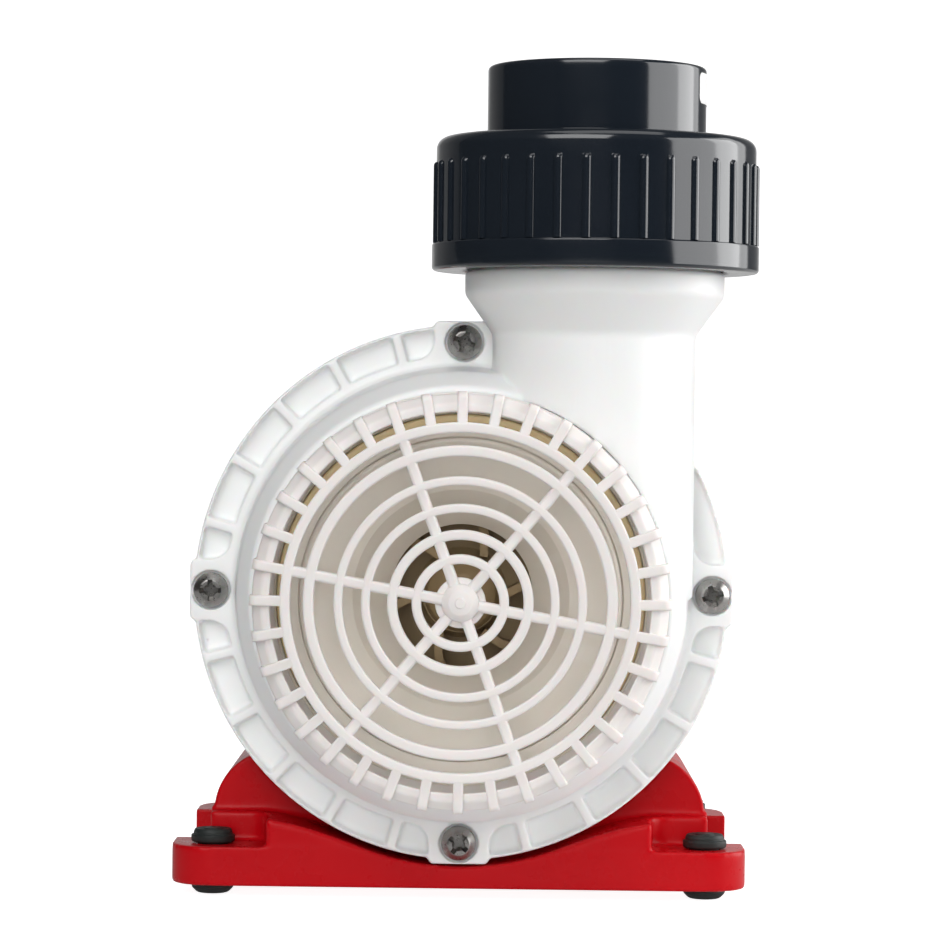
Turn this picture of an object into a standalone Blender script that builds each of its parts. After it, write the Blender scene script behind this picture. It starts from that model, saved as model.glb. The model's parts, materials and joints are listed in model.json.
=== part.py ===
"""A centrifugal aquarium return pump on a rubber-footed cradle, with a pipe union on its upright outlet.

Units are metres, +Z is up and the intake faces -Y. The pump's own frame has its origin where the shaft axis
meets the front face of the flange: x is to the right, y is up and z points out of the intake.
"""

import math

import bmesh
import bpy
from mathutils import Matrix, Vector

MM = 0.001
GAP = 0.3

# Driving dimensions, in millimetres.
AXIS_HEIGHT = 67.4
FLANGE_FACE_Y = -30.0
FLANGE_R = 58.7
FLANGE_DEPTH = 9.0
SCREW_PITCH_R = 55.0
SCREW_HOLE_R = 2.3
LUG_R = 59.6
LUG_WIDTH = 13.4
RIB_STEP_DEG = 15
RIB_WIDTH = 2.2
POCKET_R = (51.8, 57.7)
POCKET_FLOOR = -3.6
OPEN_POCKET_DEG = 75
CHAMBER_R = 46.0
DOME_R = 49.6
DOME_FRONT_R = 48.4
DOME_FRONT = 24.0
DOME_WALL = 4.0

STRAINER_R = 43.9
STRAINER_RELIEF_R = 44.3
FOOT_RING_R = 39.7
STRAINER_FRONT = 45.0
STRAINER_WALL = 1.9
SKIRT_TOP = 29.5
SLOT_R = 39.6
SHOULDER = (38.5, 43.6)
STRAINER_RIBS = 36
STRAINER_RIB_WIDTH = 2.1
SPOKES = 6
SPOKE_WIDTH = 2.3
FIRST_SPOKE_DEG = 40.0
STRAINER_RINGS = ((8.1, 10.1), (13.1, 15.2), (18.7, 20.6), (24.4, 26.3), (30.4, 32.7), (35.3, 37.5))
HUB_R = 3.9

EYE_R = 15.4
DISH_STEP_R = 23.1
DISH_RIM_R = 34.1
DISH_RIM_FRONT = 29.5
SEAM_R = (34.3, 34.8)
SEAM_FLOOR = 27.0
BAND_FRONT = 28.0
SEAL_GROOVE_R = 37.2
SEAL_REAR = 20.8
SEAT_R = (39.3, 43.0)
SEAT_FRONT = 24.9
PLATE_REAR = 8.5

UNION_X = 28.1
UNION_Z = 8.0
NECK_R = 22.0
NECK_TOP = 56.6
COLLAR_R = 28.1
COLLAR_BOTTOM = 65.1
COLLAR_TOP = 84.0
OUTLET_BORE_R = 17.5
THROAT_R = 14.5
NUT_BOTTOM = 70.2
NUT_TOP = 99.0
NUT_R = 34.6
NUT_BAND_R = 35.4
NUT_BAND_TOP = 76.0
NUT_RIBS = 36
NUT_RIB_WIDTH = 1.8
NUT_RIB_R = 35.3
NUT_RIB_TOP = 93.4
SOCKET_R = 23.65
SOCKET_BORE_R = 20.1
SOCKET_TOP = 114.5

IMPELLER_R = 36.0
VANES = 6
SHAFT_R = 4.0
SHAFT_SPAN = (-77.0, 3.4)
BEARING_BORE_R = 4.1
BEARING_R = 7.4
FRONT_BEARING = (-16.0, -10.2)
REAR_BEARING = (-77.4, -70.2)
CAN_R = 18.5
CAN_BORE_R = 17.4
CAN_FRONT = -9.6
CAN_REAR = -70.5
CAN_FLANGE_R = 45.0
MAGNET_R = 16.4
SLEEVE_R = 8.0
SLEEVE_SPAN = (-66.5, -18.0)
STATOR_R = 43.4
STATOR_SPAN = (-64.0, -20.0)
YOKE_R = 31.0
TEETH = 6
TOOTH_HALF = 4.5
COIL_R = (21.5, 28.8)
COIL_HALF = 8.0
COIL_OVERHANG = 3.0
MOTOR_R = 50.0
MOTOR_BORE_R = 43.8
MOTOR_FLANGE_R = 54.0
MOTOR_FLANGE_REAR = -19.0
MOTOR_LUG_R = 4.4
MOTOR_FRONT = -9.3
MOTOR_REAR = -84.0
COVER_REAR = -89.3
COVER_PITCH_R = 47.0
COVER_HOLE_R = 1.75
COVER_SPIGOT_R = 43.2
GLAND_Y = 28.0
GLAND_BORE_R = 3.4
GLAND_COLLAR_REAR = -94.6
GLAND_REAR = -107.2

BASE_HALF = UNION_X + NUT_BAND_R
BASE_FRONT = 0.5
BASE_REAR = -95.5
BASE_UNDERSIDE = 2.4
TAB_TOP = 11.0
TAB_CORNER_R = 9.0
BODY_HALF = 55.5
BODY_TOP = 18.0
EAR_X = 41.0
EAR_CENTRE_HEIGHT = 17.0
EAR_TOP = 31.0
WALL_LOW = 6.3
WALL_HIGH = 17.4
WALL_RISE_X = 46.0
RECESS_X = 42.4
RECESS_DEPTH = 14.6
SADDLE_SETBACK = 17.5
FOOT_X = BASE_HALF - TAB_CORNER_R
FOOT_R = 4.85
FOOT_HOLE_R = 3.5
CRADLE_SCREW_Z = (-40.0, -72.0)
CRADLE_HOLE_R = 2.8
COUNTERBORE_R = 5.2
COUNTERBORE_DEPTH = 6.5


def clear_scene():
    for obj in list(bpy.data.objects):
        bpy.data.objects.remove(obj)


def new_collection(name):
    made = bpy.data.collections.new(name)
    bpy.context.scene.collection.children.link(made)
    return made


def new_material(name, colour, roughness, metallic=0.0):
    made = bpy.data.materials.new(name)
    made.use_nodes = True
    shader = made.node_tree.nodes["Principled BSDF"]
    shader.inputs["Base Color"].default_value = (*colour, 1.0)
    shader.inputs["Roughness"].default_value = roughness
    shader.inputs["Metallic"].default_value = metallic
    return made


clear_scene()
PARTS = new_collection("aquarium_return_pump")
CUTTERS = new_collection("cutters")
HOUSING_WHITE = new_material("housing_white", (0.87, 0.875, 0.87), 0.35)
STRAINER_WHITE = new_material("strainer_white", (0.80, 0.765, 0.745), 0.4)
PLATE_BEIGE = new_material("plate_beige", (0.80, 0.745, 0.665), 0.45)
SEAL_AMBER = new_material("seal_amber", (0.84, 0.60, 0.34), 0.4)
UNION_GREY = new_material("union_grey", (0.011, 0.015, 0.021), 0.13)
CRADLE_RED = new_material("cradle_red", (0.54, 0.004, 0.008), 0.28)
FOOT_RUBBER = new_material("foot_rubber", (0.012, 0.016, 0.015), 0.6)
STAINLESS = new_material("stainless", (0.60, 0.58, 0.56), 0.3, 1.0)
IMPELLER_BROWN = new_material("impeller_brown", (0.36, 0.26, 0.14), 0.45)
CERAMIC = new_material("ceramic", (0.82, 0.80, 0.76), 0.2)
MAGNET = new_material("magnet_black", (0.03, 0.03, 0.032), 0.4)
CORE_STEEL = new_material("core_steel", (0.32, 0.32, 0.33), 0.45, 1.0)
COPPER = new_material("copper", (0.75, 0.35, 0.18), 0.3, 1.0)
CAN_GREY = new_material("can_grey", (0.10, 0.10, 0.11), 0.5)

PUMP_FRAME = bpy.data.objects.new("pump_frame", None)
PUMP_FRAME.location = (0.0, FLANGE_FACE_Y * MM, AXIS_HEIGHT * MM)
PUMP_FRAME.rotation_euler = (math.pi / 2, 0.0, 0.0)
PARTS.objects.link(PUMP_FRAME)

ROTOR_FRAME = bpy.data.objects.new("rotor_axis", None)
PARTS.objects.link(ROTOR_FRAME)
ROTOR_FRAME.parent = PUMP_FRAME

# The outlet's frame has its z axis up the outlet, and x still to the right.
OUTLET_FRAME = bpy.data.objects.new("outlet_axis", None)
OUTLET_FRAME.location = (UNION_X * MM, 0.0, UNION_Z * MM)
OUTLET_FRAME.rotation_euler = (-math.pi / 2, 0.0, 0.0)
PARTS.objects.link(OUTLET_FRAME)
OUTLET_FRAME.parent = PUMP_FRAME


def place(name, mesh, material, parent, location=(0, 0, 0), rotation=(0, 0, 0)):
    """A part from its mesh, or a hidden cutter if it has no material."""
    obj = bpy.data.objects.new(name, mesh)
    obj.parent = parent
    obj.location = Vector(location) * MM
    obj.rotation_euler = rotation
    if material is None:
        obj.hide_render = True
        obj.display_type = "WIRE"
        CUTTERS.objects.link(obj)
        return obj
    mesh.materials.append(material)
    PARTS.objects.link(obj)
    return obj


def boolean(obj, operation, other, solver="EXACT"):
    cut = obj.modifiers.new(operation.lower() + "_" + other.name, "BOOLEAN")
    cut.operation = operation
    cut.solver = solver
    cut.object = other
    return obj


def mesh_of(bm, name):
    mesh = bpy.data.meshes.new(name)
    bmesh.ops.recalc_face_normals(bm, faces=bm.faces)
    bm.to_mesh(mesh)
    bm.free()
    return mesh


def turned(name, profile, material, parent, steps=36, closed=True, **where):
    """A turned shape from (radius, z) in millimetres, down its outer side and, on a ring, up its bore."""
    bm = bmesh.new()
    points = [bm.verts.new((r * MM, 0.0, z * MM)) for r, z in profile]
    for first, second in zip(points, points[1:]):
        bm.edges.new((first, second))
    if closed:
        bm.edges.new((points[-1], points[0]))
    mesh = bpy.data.meshes.new(name)
    bm.to_mesh(mesh)
    bm.free()
    obj = place(name, mesh, material, parent, **where)
    screw = obj.modifiers.new("turn", "SCREW")
    screw.axis = "Z"
    screw.angle = 2 * math.pi
    screw.steps = steps
    screw.render_steps = steps
    screw.use_merge_vertices = True
    screw.merge_threshold = 0.00001
    screw.use_smooth_shade = True
    return obj


def add_box(bm, low, high):
    made = bmesh.ops.create_cube(bm, size=1.0)["verts"]
    low, high = Vector(low) * MM, Vector(high) * MM
    bmesh.ops.scale(bm, vec=high - low, verts=made)
    bmesh.ops.translate(bm, vec=(low + high) / 2, verts=made)
    return made


def add_cylinder(bm, radius, z_low, z_high, x=0.0, y=0.0, segments=32):
    made = bmesh.ops.create_cone(
        bm,
        cap_ends=True,
        segments=segments,
        radius1=radius * MM,
        radius2=radius * MM,
        depth=(z_high - z_low) * MM,
    )["verts"]
    bmesh.ops.translate(bm, vec=Vector((x, y, (z_low + z_high) / 2)) * MM, verts=made)
    return made


def turn_about_z(bm, verts, degrees):
    """Turns clockwise, as seen from +z, so that 0 is up and 90 is to the right."""
    turn = Matrix.Rotation(-math.radians(degrees), 3, "Z")
    bmesh.ops.rotate(bm, verts=verts, cent=(0, 0, 0), matrix=turn)


def extrude_outlines(name, outlines, z_low, z_high, material, parent, **where):
    """Prisms from flat outlines in x and y, made as a filled 2D curve and turned into a mesh."""
    curve = bpy.data.curves.new(name, "CURVE")
    curve.dimensions = "2D"
    curve.fill_mode = "BOTH"
    curve.extrude = (z_high - z_low) / 2 * MM
    for outline in outlines:
        spline = curve.splines.new("POLY")
        spline.points.add(len(outline) - 1)
        for point, (x, y) in zip(spline.points, outline):
            point.co = (x * MM, y * MM, 0.0, 1.0)
        spline.use_cyclic_u = True
    helper = bpy.data.objects.new(name + "_outline", curve)
    bpy.context.scene.collection.objects.link(helper)
    graph = bpy.context.evaluated_depsgraph_get()
    mesh = bpy.data.meshes.new_from_object(helper.evaluated_get(graph))
    bpy.data.objects.remove(helper)
    bm = bmesh.new()
    bm.from_mesh(mesh)
    bmesh.ops.remove_doubles(bm, verts=bm.verts, dist=0.00001)
    bmesh.ops.translate(bm, vec=(0, 0, (z_low + z_high) / 2 * MM), verts=bm.verts)
    bpy.data.meshes.remove(mesh)
    return place(name, mesh_of(bm, name), material, parent, **where)


def arc(cx, cy, radius, start_deg, end_deg, count):
    """Points on an arc, angles counter-clockwise from +x."""
    turns = [math.radians(start_deg + (end_deg - start_deg) * i / count) for i in range(count + 1)]
    return [(cx + radius * math.cos(t), cy + radius * math.sin(t)) for t in turns]


def rounded_box_outline(x_half, y_low, y_high, radius, count=4):
    return (
        arc(x_half - radius, y_high - radius, radius, 0, 90, count)
        + arc(-x_half + radius, y_high - radius, radius, 90, 180, count)
        + arc(-x_half + radius, y_low + radius, radius, 180, 270, count)
        + arc(x_half - radius, y_low + radius, radius, 270, 360, count)
    )


# --- Volute housing ---------------------------------------------------------------------------------------


def lug_outline():
    """One flange lug, standing upright: square-cornered outside, with wide fillets into the flange."""
    half, foot, root = LUG_WIDTH / 2, 10.5, POCKET_R[0] - 3.5
    right = [(foot, root), *arc(foot, root + 7.6, 3.8, 270, 180, 3), (half, LUG_R)]
    return right + [(-x, y) for x, y in reversed(right)]


def volute_cutters():
    pockets = bmesh.new()
    middle = (POCKET_R[0] + POCKET_R[1]) / 2
    for index in range(360 // RIB_STEP_DEG):
        degrees = (index + 0.5) * RIB_STEP_DEG
        half = middle * math.sin(math.radians(RIB_STEP_DEG / 2)) - RIB_WIDTH / 2
        made = add_box(pockets, (-half, POCKET_R[0], POCKET_FLOOR), (half, POCKET_R[1] - 0.6, 5.0))
        turn_about_z(pockets, made, degrees)
    top = POCKET_R[1] - 0.6
    made = add_box(pockets, (-RIB_WIDTH, POCKET_R[0] + 0.2, POCKET_FLOOR), (RIB_WIDTH, top, 5.0))
    turn_about_z(pockets, made, OPEN_POCKET_DEG)
    pocket_cutter = place("pocket_cutter", mesh_of(pockets, "pocket_cutter"), None, PUMP_FRAME)

    holes = bmesh.new()
    for index in range(4):
        made = add_cylinder(holes, SCREW_HOLE_R, -20.0, 10.0, y=SCREW_PITCH_R, segments=16)
        turn_about_z(holes, made, 90 * index)
    hole_cutter = place("screw_holes", mesh_of(holes, "screw_holes"), None, PUMP_FRAME)

    front_wall = DOME_FRONT - DOME_WALL
    chamber = turned(
        "chamber_cutter",
        [(0, front_wall), (CHAMBER_R - 3, front_wall), (CHAMBER_R, front_wall - 3), (CHAMBER_R, -15),
         (0, -15)],
        None,
        PUMP_FRAME,
        closed=False,
    )
    mouth = bmesh.new()
    add_cylinder(mouth, SEAT_R[1] + GAP, 10.0, 40.0, segments=48)
    mouth_cutter = place("mouth_cutter", mesh_of(mouth, "mouth_cutter"), None, PUMP_FRAME)
    top = COLLAR_TOP + 5
    bore_cutter = turned(
        "outlet_bore_cutter",
        [(0, top), (OUTLET_BORE_R, top), (OUTLET_BORE_R, COLLAR_BOTTOM), (THROAT_R, NECK_TOP), (THROAT_R, 12.0),
         (0, 12.0)],
        None,
        OUTLET_FRAME,
        steps=32,
        closed=False,
    )
    return pocket_cutter, hole_cutter, chamber, mouth_cutter, bore_cutter


def neck_solid():
    """The outlet neck with its cone and collar, cut back behind the flange and around the strainer's foot."""
    neck = turned(
        "neck",
        [(0, COLLAR_TOP), (COLLAR_R - 1.2, COLLAR_TOP), (COLLAR_R - 1.2, NUT_BOTTOM),
         (COLLAR_R, NUT_BOTTOM - 0.5), (COLLAR_R, COLLAR_BOTTOM), (NECK_R, NECK_TOP), (NECK_R, 0), (0, 0)],
        None,
        OUTLET_FRAME,
        steps=32,
        closed=False,
    )
    back = bmesh.new()
    add_box(back, (0, -20, -40), (80, NECK_TOP + 0.4, -FLANGE_DEPTH + 0.3))
    back_cutter = place("neck_back_cutter", mesh_of(back, "neck_back_cutter"), None, PUMP_FRAME)
    boolean(neck, "DIFFERENCE", back_cutter, "MANIFOLD")
    relief = turned(
        "strainer_relief",
        [(0, 45), (STRAINER_RELIEF_R, 45), (STRAINER_RELIEF_R, DOME_FRONT), (0, DOME_FRONT)],
        None,
        PUMP_FRAME,
        steps=48,
        closed=False,
    )
    boolean(neck, "DIFFERENCE", relief, "MANIFOLD")
    return neck


def build_volute_housing():
    housing = turned(
        "volute_housing",
        [(0, DOME_FRONT), (DOME_FRONT_R - 3.8, DOME_FRONT), (DOME_FRONT_R - 1.2, DOME_FRONT - 2.5),
         (DOME_FRONT_R, DOME_FRONT - 9.0), (DOME_R, 0.8), (DOME_R + 0.8, 0), (FLANGE_R, 0),
         (FLANGE_R, -FLANGE_DEPTH), (0, -FLANGE_DEPTH)],
        HOUSING_WHITE,
        PUMP_FRAME,
        steps=48,
        closed=False,
    )
    pockets, holes, chamber, mouth, bore = volute_cutters()
    boolean(housing, "DIFFERENCE", pockets, "MANIFOLD")
    for index in range(4):
        lug = extrude_outlines(
            f"lug_{index + 1}", [lug_outline()], -FLANGE_DEPTH + 0.4, -0.4, None, PUMP_FRAME,
            rotation=(0, 0, -math.pi / 2 * index),
        )
        boolean(housing, "UNION", lug, "MANIFOLD")
    boolean(housing, "UNION", neck_solid(), "MANIFOLD")
    for cutter in (chamber, mouth, bore, holes):
        boolean(housing, "DIFFERENCE", cutter, "MANIFOLD")
    return housing


# --- Intake -----------------------------------------------------------------------------------------------


def sector_outline(r_low, r_high, start_deg, end_deg, bar_width, count):
    """A ring sector between two radial bars of one width, its angles clockwise from up."""
    def at(radius, edge_deg, side):
        return math.radians(edge_deg) + side * math.asin(bar_width / 2 / radius)

    def sweep(radius, first, last):
        steps = [first + (last - first) * i / count for i in range(count + 1)]
        return [(radius * math.sin(t), radius * math.cos(t)) for t in steps]

    inner = sweep(r_low, at(r_low, start_deg, 1), at(r_low, end_deg, -1))
    outer = sweep(r_high, at(r_high, end_deg, -1), at(r_high, start_deg, 1))
    return inner + outer


def build_intake_strainer():
    """A basket: one turned cup, with windows between its rings and spokes and slots between its outer ribs."""
    back, front = STRAINER_FRONT - 2.4, STRAINER_FRONT
    foot_top, foot_low = 26.2, DOME_FRONT + GAP
    strainer = turned(
        "intake_strainer",
        [(0, front + 2.2), (HUB_R, front), (STRAINER_R - 1.2, front), (STRAINER_R, front - 1.5),
         (STRAINER_R, foot_low),
         (SEAT_R[1] + GAP, foot_low), (SEAT_R[1] + GAP, SEAT_FRONT + GAP), (FOOT_RING_R, SEAT_FRONT + GAP),
         (FOOT_RING_R, foot_top), (STRAINER_R - STRAINER_WALL, SKIRT_TOP - 0.5),
         (STRAINER_R - STRAINER_WALL, back), (0, back)],
        STRAINER_WHITE,
        PUMP_FRAME,
        steps=36,
        closed=False,
    )
    edges = [HUB_R] + [r for ring in STRAINER_RINGS for r in ring]
    windows = []
    for r_low, r_high in zip(edges[0::2], edges[1::2]):
        for spoke in range(SPOKES):
            start = FIRST_SPOKE_DEG + spoke * 360 / SPOKES
            windows.append(sector_outline(r_low, r_high, start, start + 360 / SPOKES, SPOKE_WIDTH, 2))
    window_cutter = extrude_outlines("windows", windows, back - 3, front + 3, None, PUMP_FRAME)
    boolean(strainer, "DIFFERENCE", window_cutter, "MANIFOLD")
    step = 360 / STRAINER_RIBS
    for name, r_low, r_high, z_low, z_high in (
        ("front_slots", edges[-1], SLOT_R, back - 3, front + 3),
        ("shoulder_cells", SLOT_R - 0.3, STRAINER_R + 4, SHOULDER[1], front + 3),
        ("side_slots", SLOT_R, STRAINER_R + 4, SKIRT_TOP, SHOULDER[0]),
    ):
        cells = [
            sector_outline(r_low, r_high, rib * step, (rib + 1) * step, STRAINER_RIB_WIDTH, 1)
            for rib in range(STRAINER_RIBS)
        ]
        cutter = extrude_outlines(name, cells, z_low, z_high, None, PUMP_FRAME)
        boolean(strainer, "DIFFERENCE", cutter, "MANIFOLD")
    return strainer


def build_intake_plate():
    """The dished plate with the eye: its rim stands in the strainer, and its seat carries the strainer."""
    lip_r, lip_front = CHAMBER_R - 0.6, DOME_FRONT - DOME_WALL - 0.4
    turned(
        "intake_plate",
        [(SEAT_R[1], SEAT_FRONT), (SEAT_R[1], lip_front), (lip_r - 3, lip_front), (lip_r - 3, PLATE_REAR),
         (EYE_R, PLATE_REAR), (EYE_R, PLATE_REAR + 1), (DISH_STEP_R, 22.5), (DISH_RIM_R, DISH_RIM_FRONT),
         (SEAM_R[0], DISH_RIM_FRONT - 0.5), (SEAM_R[0], SEAM_FLOOR), (SEAM_R[1], SEAM_FLOOR),
         (SEAM_R[1], BAND_FRONT),
         (SEAL_GROOVE_R, BAND_FRONT), (SEAL_GROOVE_R, SEAL_REAR - GAP), (SEAT_R[0], SEAL_REAR - GAP),
         (SEAT_R[0], SEAT_FRONT)],
        PLATE_BEIGE,
        PUMP_FRAME,
    )
    build_ring("intake_seal", SEAL_GROOVE_R + GAP, SEAT_R[0] - GAP, SEAL_REAR, SEAL_REAR + 2.6,
               SEAL_AMBER, 36)


def build_ring(name, r_in, r_out, z_low, z_high, material, steps=32, parent=None, **where):
    """A plain ring, such as a seal, a washer or a bearing."""
    profile = [(r_out, z_high), (r_out, z_low), (r_in, z_low), (r_in, z_high)]
    return turned(name, profile, material, parent or PUMP_FRAME, steps=steps, **where)


# --- Rotor ------------------------------------------------------------------------------------------------


def vane_outline(index):
    """A backward-curved vane: a strip of constant width along a spiral."""
    inner_r, outer_r, sweep_deg, half, count = 9.5, IMPELLER_R - 0.6, 55.0, 0.9, 6
    sides = ([], [])
    for i in range(count + 1):
        share = i / count
        radius = inner_r + (outer_r - inner_r) * share
        turn = math.radians(index * 360 / VANES + sweep_deg * share)
        slope = math.radians(sweep_deg) * radius / (outer_r - inner_r)
        outward = Vector((math.cos(turn), math.sin(turn)))
        along = outward + slope * Vector((-outward.y, outward.x))
        across = Vector((-along.y, along.x)).normalized() * half
        centre = outward * radius
        sides[0].append(tuple(centre + across))
        sides[1].append(tuple(centre - across))
    return sides[0] + sides[1][::-1]


def build_impeller():
    rear, shroud = -6.5, 2.0
    front = PLATE_REAR - 1.5
    impeller = turned(
        "impeller",
        [(8.5, 3.5), (8.5, rear + shroud + 1.5), (10, rear + shroud), (IMPELLER_R, rear + shroud),
         (IMPELLER_R, rear), (SHAFT_R + GAP, rear), (SHAFT_R + GAP, 3.5)],
        IMPELLER_BROWN,
        ROTOR_FRAME,
    )
    for index in range(VANES):
        vane = extrude_outlines(
            f"vane_{index + 1}", [vane_outline(index)], rear + shroud - 0.4, front - shroud + 0.4, None,
            ROTOR_FRAME,
        )
        boolean(impeller, "UNION", vane)
    ring = turned(
        "front_shroud",
        [(IMPELLER_R, front), (IMPELLER_R, front - shroud), (EYE_R + 0.8, front - shroud),
         (EYE_R + 0.8, front)],
        None,
        ROTOR_FRAME,
    )
    boolean(impeller, "UNION", ring)
    turned(
        "impeller_nut",
        [(0, 9.4), (4.5, 9.0), (7.4, 6.2), (8.2, 3.8), (0, 3.8)],
        IMPELLER_BROWN,
        ROTOR_FRAME,
        steps=24,
        closed=False,
    )


def build_rotor():
    build_impeller()
    rear, front = SHAFT_SPAN
    chamfer = 0.4
    turned(
        "shaft",
        [(0, front), (SHAFT_R - chamfer, front), (SHAFT_R, front - chamfer), (SHAFT_R, rear + chamfer),
         (SHAFT_R - chamfer, rear), (0, rear)],
        CERAMIC,
        ROTOR_FRAME,
        steps=24,
        closed=False,
    )
    rear, front = SLEEVE_SPAN
    build_ring("thrust_washer", SHAFT_R + GAP, SLEEVE_R, -8.3, -6.8, CERAMIC, 24, ROTOR_FRAME)
    build_ring("rotor_sleeve", SHAFT_R + GAP, SLEEVE_R, rear, front, CAN_GREY, 24, ROTOR_FRAME)
    build_ring("rotor_magnet", SLEEVE_R + GAP, MAGNET_R, rear + 0.5, front - 0.5, MAGNET, 24, ROTOR_FRAME)


# --- Motor ------------------------------------------------------------------------------------------------


def round_holes(name, pitch_r, count, first_deg, radius, z_low, z_high, segments=16):
    bm = bmesh.new()
    for index in range(count):
        made = add_cylinder(bm, radius, z_low, z_high, y=pitch_r, segments=segments)
        turn_about_z(bm, made, first_deg + 360 / count * index)
    return place(name, mesh_of(bm, name), None, PUMP_FRAME)


def build_bearings():
    socket_r = BEARING_R + GAP
    build_ring("front_bearing", BEARING_BORE_R, BEARING_R, *FRONT_BEARING, CERAMIC, 24)
    build_ring("rear_bearing", BEARING_BORE_R, BEARING_R, *REAR_BEARING, CERAMIC, 24)
    carrier = build_ring("bearing_carrier", socket_r, CAN_BORE_R - GAP, *FRONT_BEARING, CAN_GREY, 32)
    boolean(carrier, "DIFFERENCE", round_holes("carrier_holes", 12.4, 6, 30, 2.4, -20, -5, 12))
    turned(
        "separation_can",
        [(0, -78.0), (socket_r, -78.0), (socket_r, CAN_REAR + 1.0), (CAN_BORE_R, CAN_REAR + 1.0),
         (CAN_BORE_R, CAN_FRONT), (CAN_FLANGE_R, CAN_FRONT), (CAN_FLANGE_R, CAN_FRONT - 1.4),
         (CAN_R, CAN_FRONT - 1.4), (CAN_R, CAN_REAR), (socket_r + 1.2, CAN_REAR), (socket_r + 1.2, -79.0),
         (0, -79.0)],
        CAN_GREY,
        PUMP_FRAME,
        steps=32,
        closed=False,
    )


def build_stator():
    rear, front = STATOR_SPAN
    core = build_ring("stator_core", YOKE_R, STATOR_R, rear, front, CORE_STEEL, 36)
    teeth = bmesh.new()
    for index in range(TEETH):
        made = add_box(teeth, (-TOOTH_HALF, CAN_R + 0.7, rear + 0.2), (TOOTH_HALF, YOKE_R + 2, front - 0.2))
        turn_about_z(teeth, made, index * 360 / TEETH)
    boolean(core, "UNION", place("stator_teeth", mesh_of(teeth, "stator_teeth"), None, PUMP_FRAME))
    for index in range(TEETH):
        turn = (0, 0, -index * 2 * math.pi / TEETH)
        body = bmesh.new()
        low = (-COIL_HALF, COIL_R[0], rear - COIL_OVERHANG)
        add_box(body, low, (COIL_HALF, COIL_R[1], front + COIL_OVERHANG))
        vertical = [e for e in body.edges if abs((e.verts[0].co - e.verts[1].co).y) > 0.001]
        bmesh.ops.bevel(body, geom=vertical, offset=2.5 * MM, segments=2, affect="EDGES", profile=0.5)
        name = f"coil_{index + 1}"
        coil = place(name, mesh_of(body, name), COPPER, PUMP_FRAME, rotation=turn)
        hole = bmesh.new()
        half = TOOTH_HALF + GAP
        add_box(hole, (-half, COIL_R[0] - 1.5, rear - GAP), (half, COIL_R[1] + 3.2, front + GAP))
        hole_cutter = place(name + "_hole", mesh_of(hole, name + "_hole"), None, PUMP_FRAME, rotation=turn)
        boolean(coil, "DIFFERENCE", hole_cutter)


def cradle_screw_holes(name, radius, y_low, y_high):
    """Upright holes on the pump's centre plane, at the cradle screws."""
    bm = bmesh.new()
    for z in CRADLE_SCREW_Z:
        made = add_cylinder(bm, radius, y_low, y_high, segments=16)
        upright = Matrix.Rotation(-math.pi / 2, 3, "X")
        bmesh.ops.rotate(bm, verts=made, cent=(0, 0, 0), matrix=upright)
        bmesh.ops.translate(bm, verts=made, vec=(0, 0, z * MM))
    return place(name, mesh_of(bm, name), None, PUMP_FRAME)


def build_motor_housing():
    can_seat, groove = MOTOR_FRONT - 2.0, (46.8, 49.6)
    housing = turned(
        "motor_housing",
        [(MOTOR_FLANGE_R, MOTOR_FRONT), (MOTOR_FLANGE_R, MOTOR_FLANGE_REAR), (MOTOR_R, MOTOR_FLANGE_REAR),
         (MOTOR_R, MOTOR_REAR), (MOTOR_BORE_R, MOTOR_REAR), (MOTOR_BORE_R, -16), (CAN_R + 0.4, -16),
         (CAN_R + 0.4, can_seat), (CAN_FLANGE_R + 0.5, can_seat), (CAN_FLANGE_R + 0.5, MOTOR_FRONT),
         (groove[0], MOTOR_FRONT), (groove[0], can_seat - GAP), (groove[1], can_seat - GAP),
         (groove[1], MOTOR_FRONT)],
        CRADLE_RED,
        PUMP_FRAME,
    )
    lugs = round_holes("motor_lugs", SCREW_PITCH_R, 4, 0, MOTOR_LUG_R, MOTOR_FLANGE_REAR, MOTOR_FRONT, 20)
    boolean(housing, "UNION", lugs)
    for holes in (
        round_holes("motor_screw_holes", SCREW_PITCH_R, 4, 0, SCREW_HOLE_R, -18.2, -5),
        round_holes("cover_screw_holes", COVER_PITCH_R, 4, 45, COVER_HOLE_R, -95, -75, 12),
        cradle_screw_holes("motor_cradle_holes", CRADLE_HOLE_R, -52, -45),
    ):
        boolean(housing, "DIFFERENCE", holes)
    build_ring("housing_seal", groove[0] + GAP, groove[1] - GAP, can_seat, MOTOR_FRONT, FOOT_RUBBER)


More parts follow.
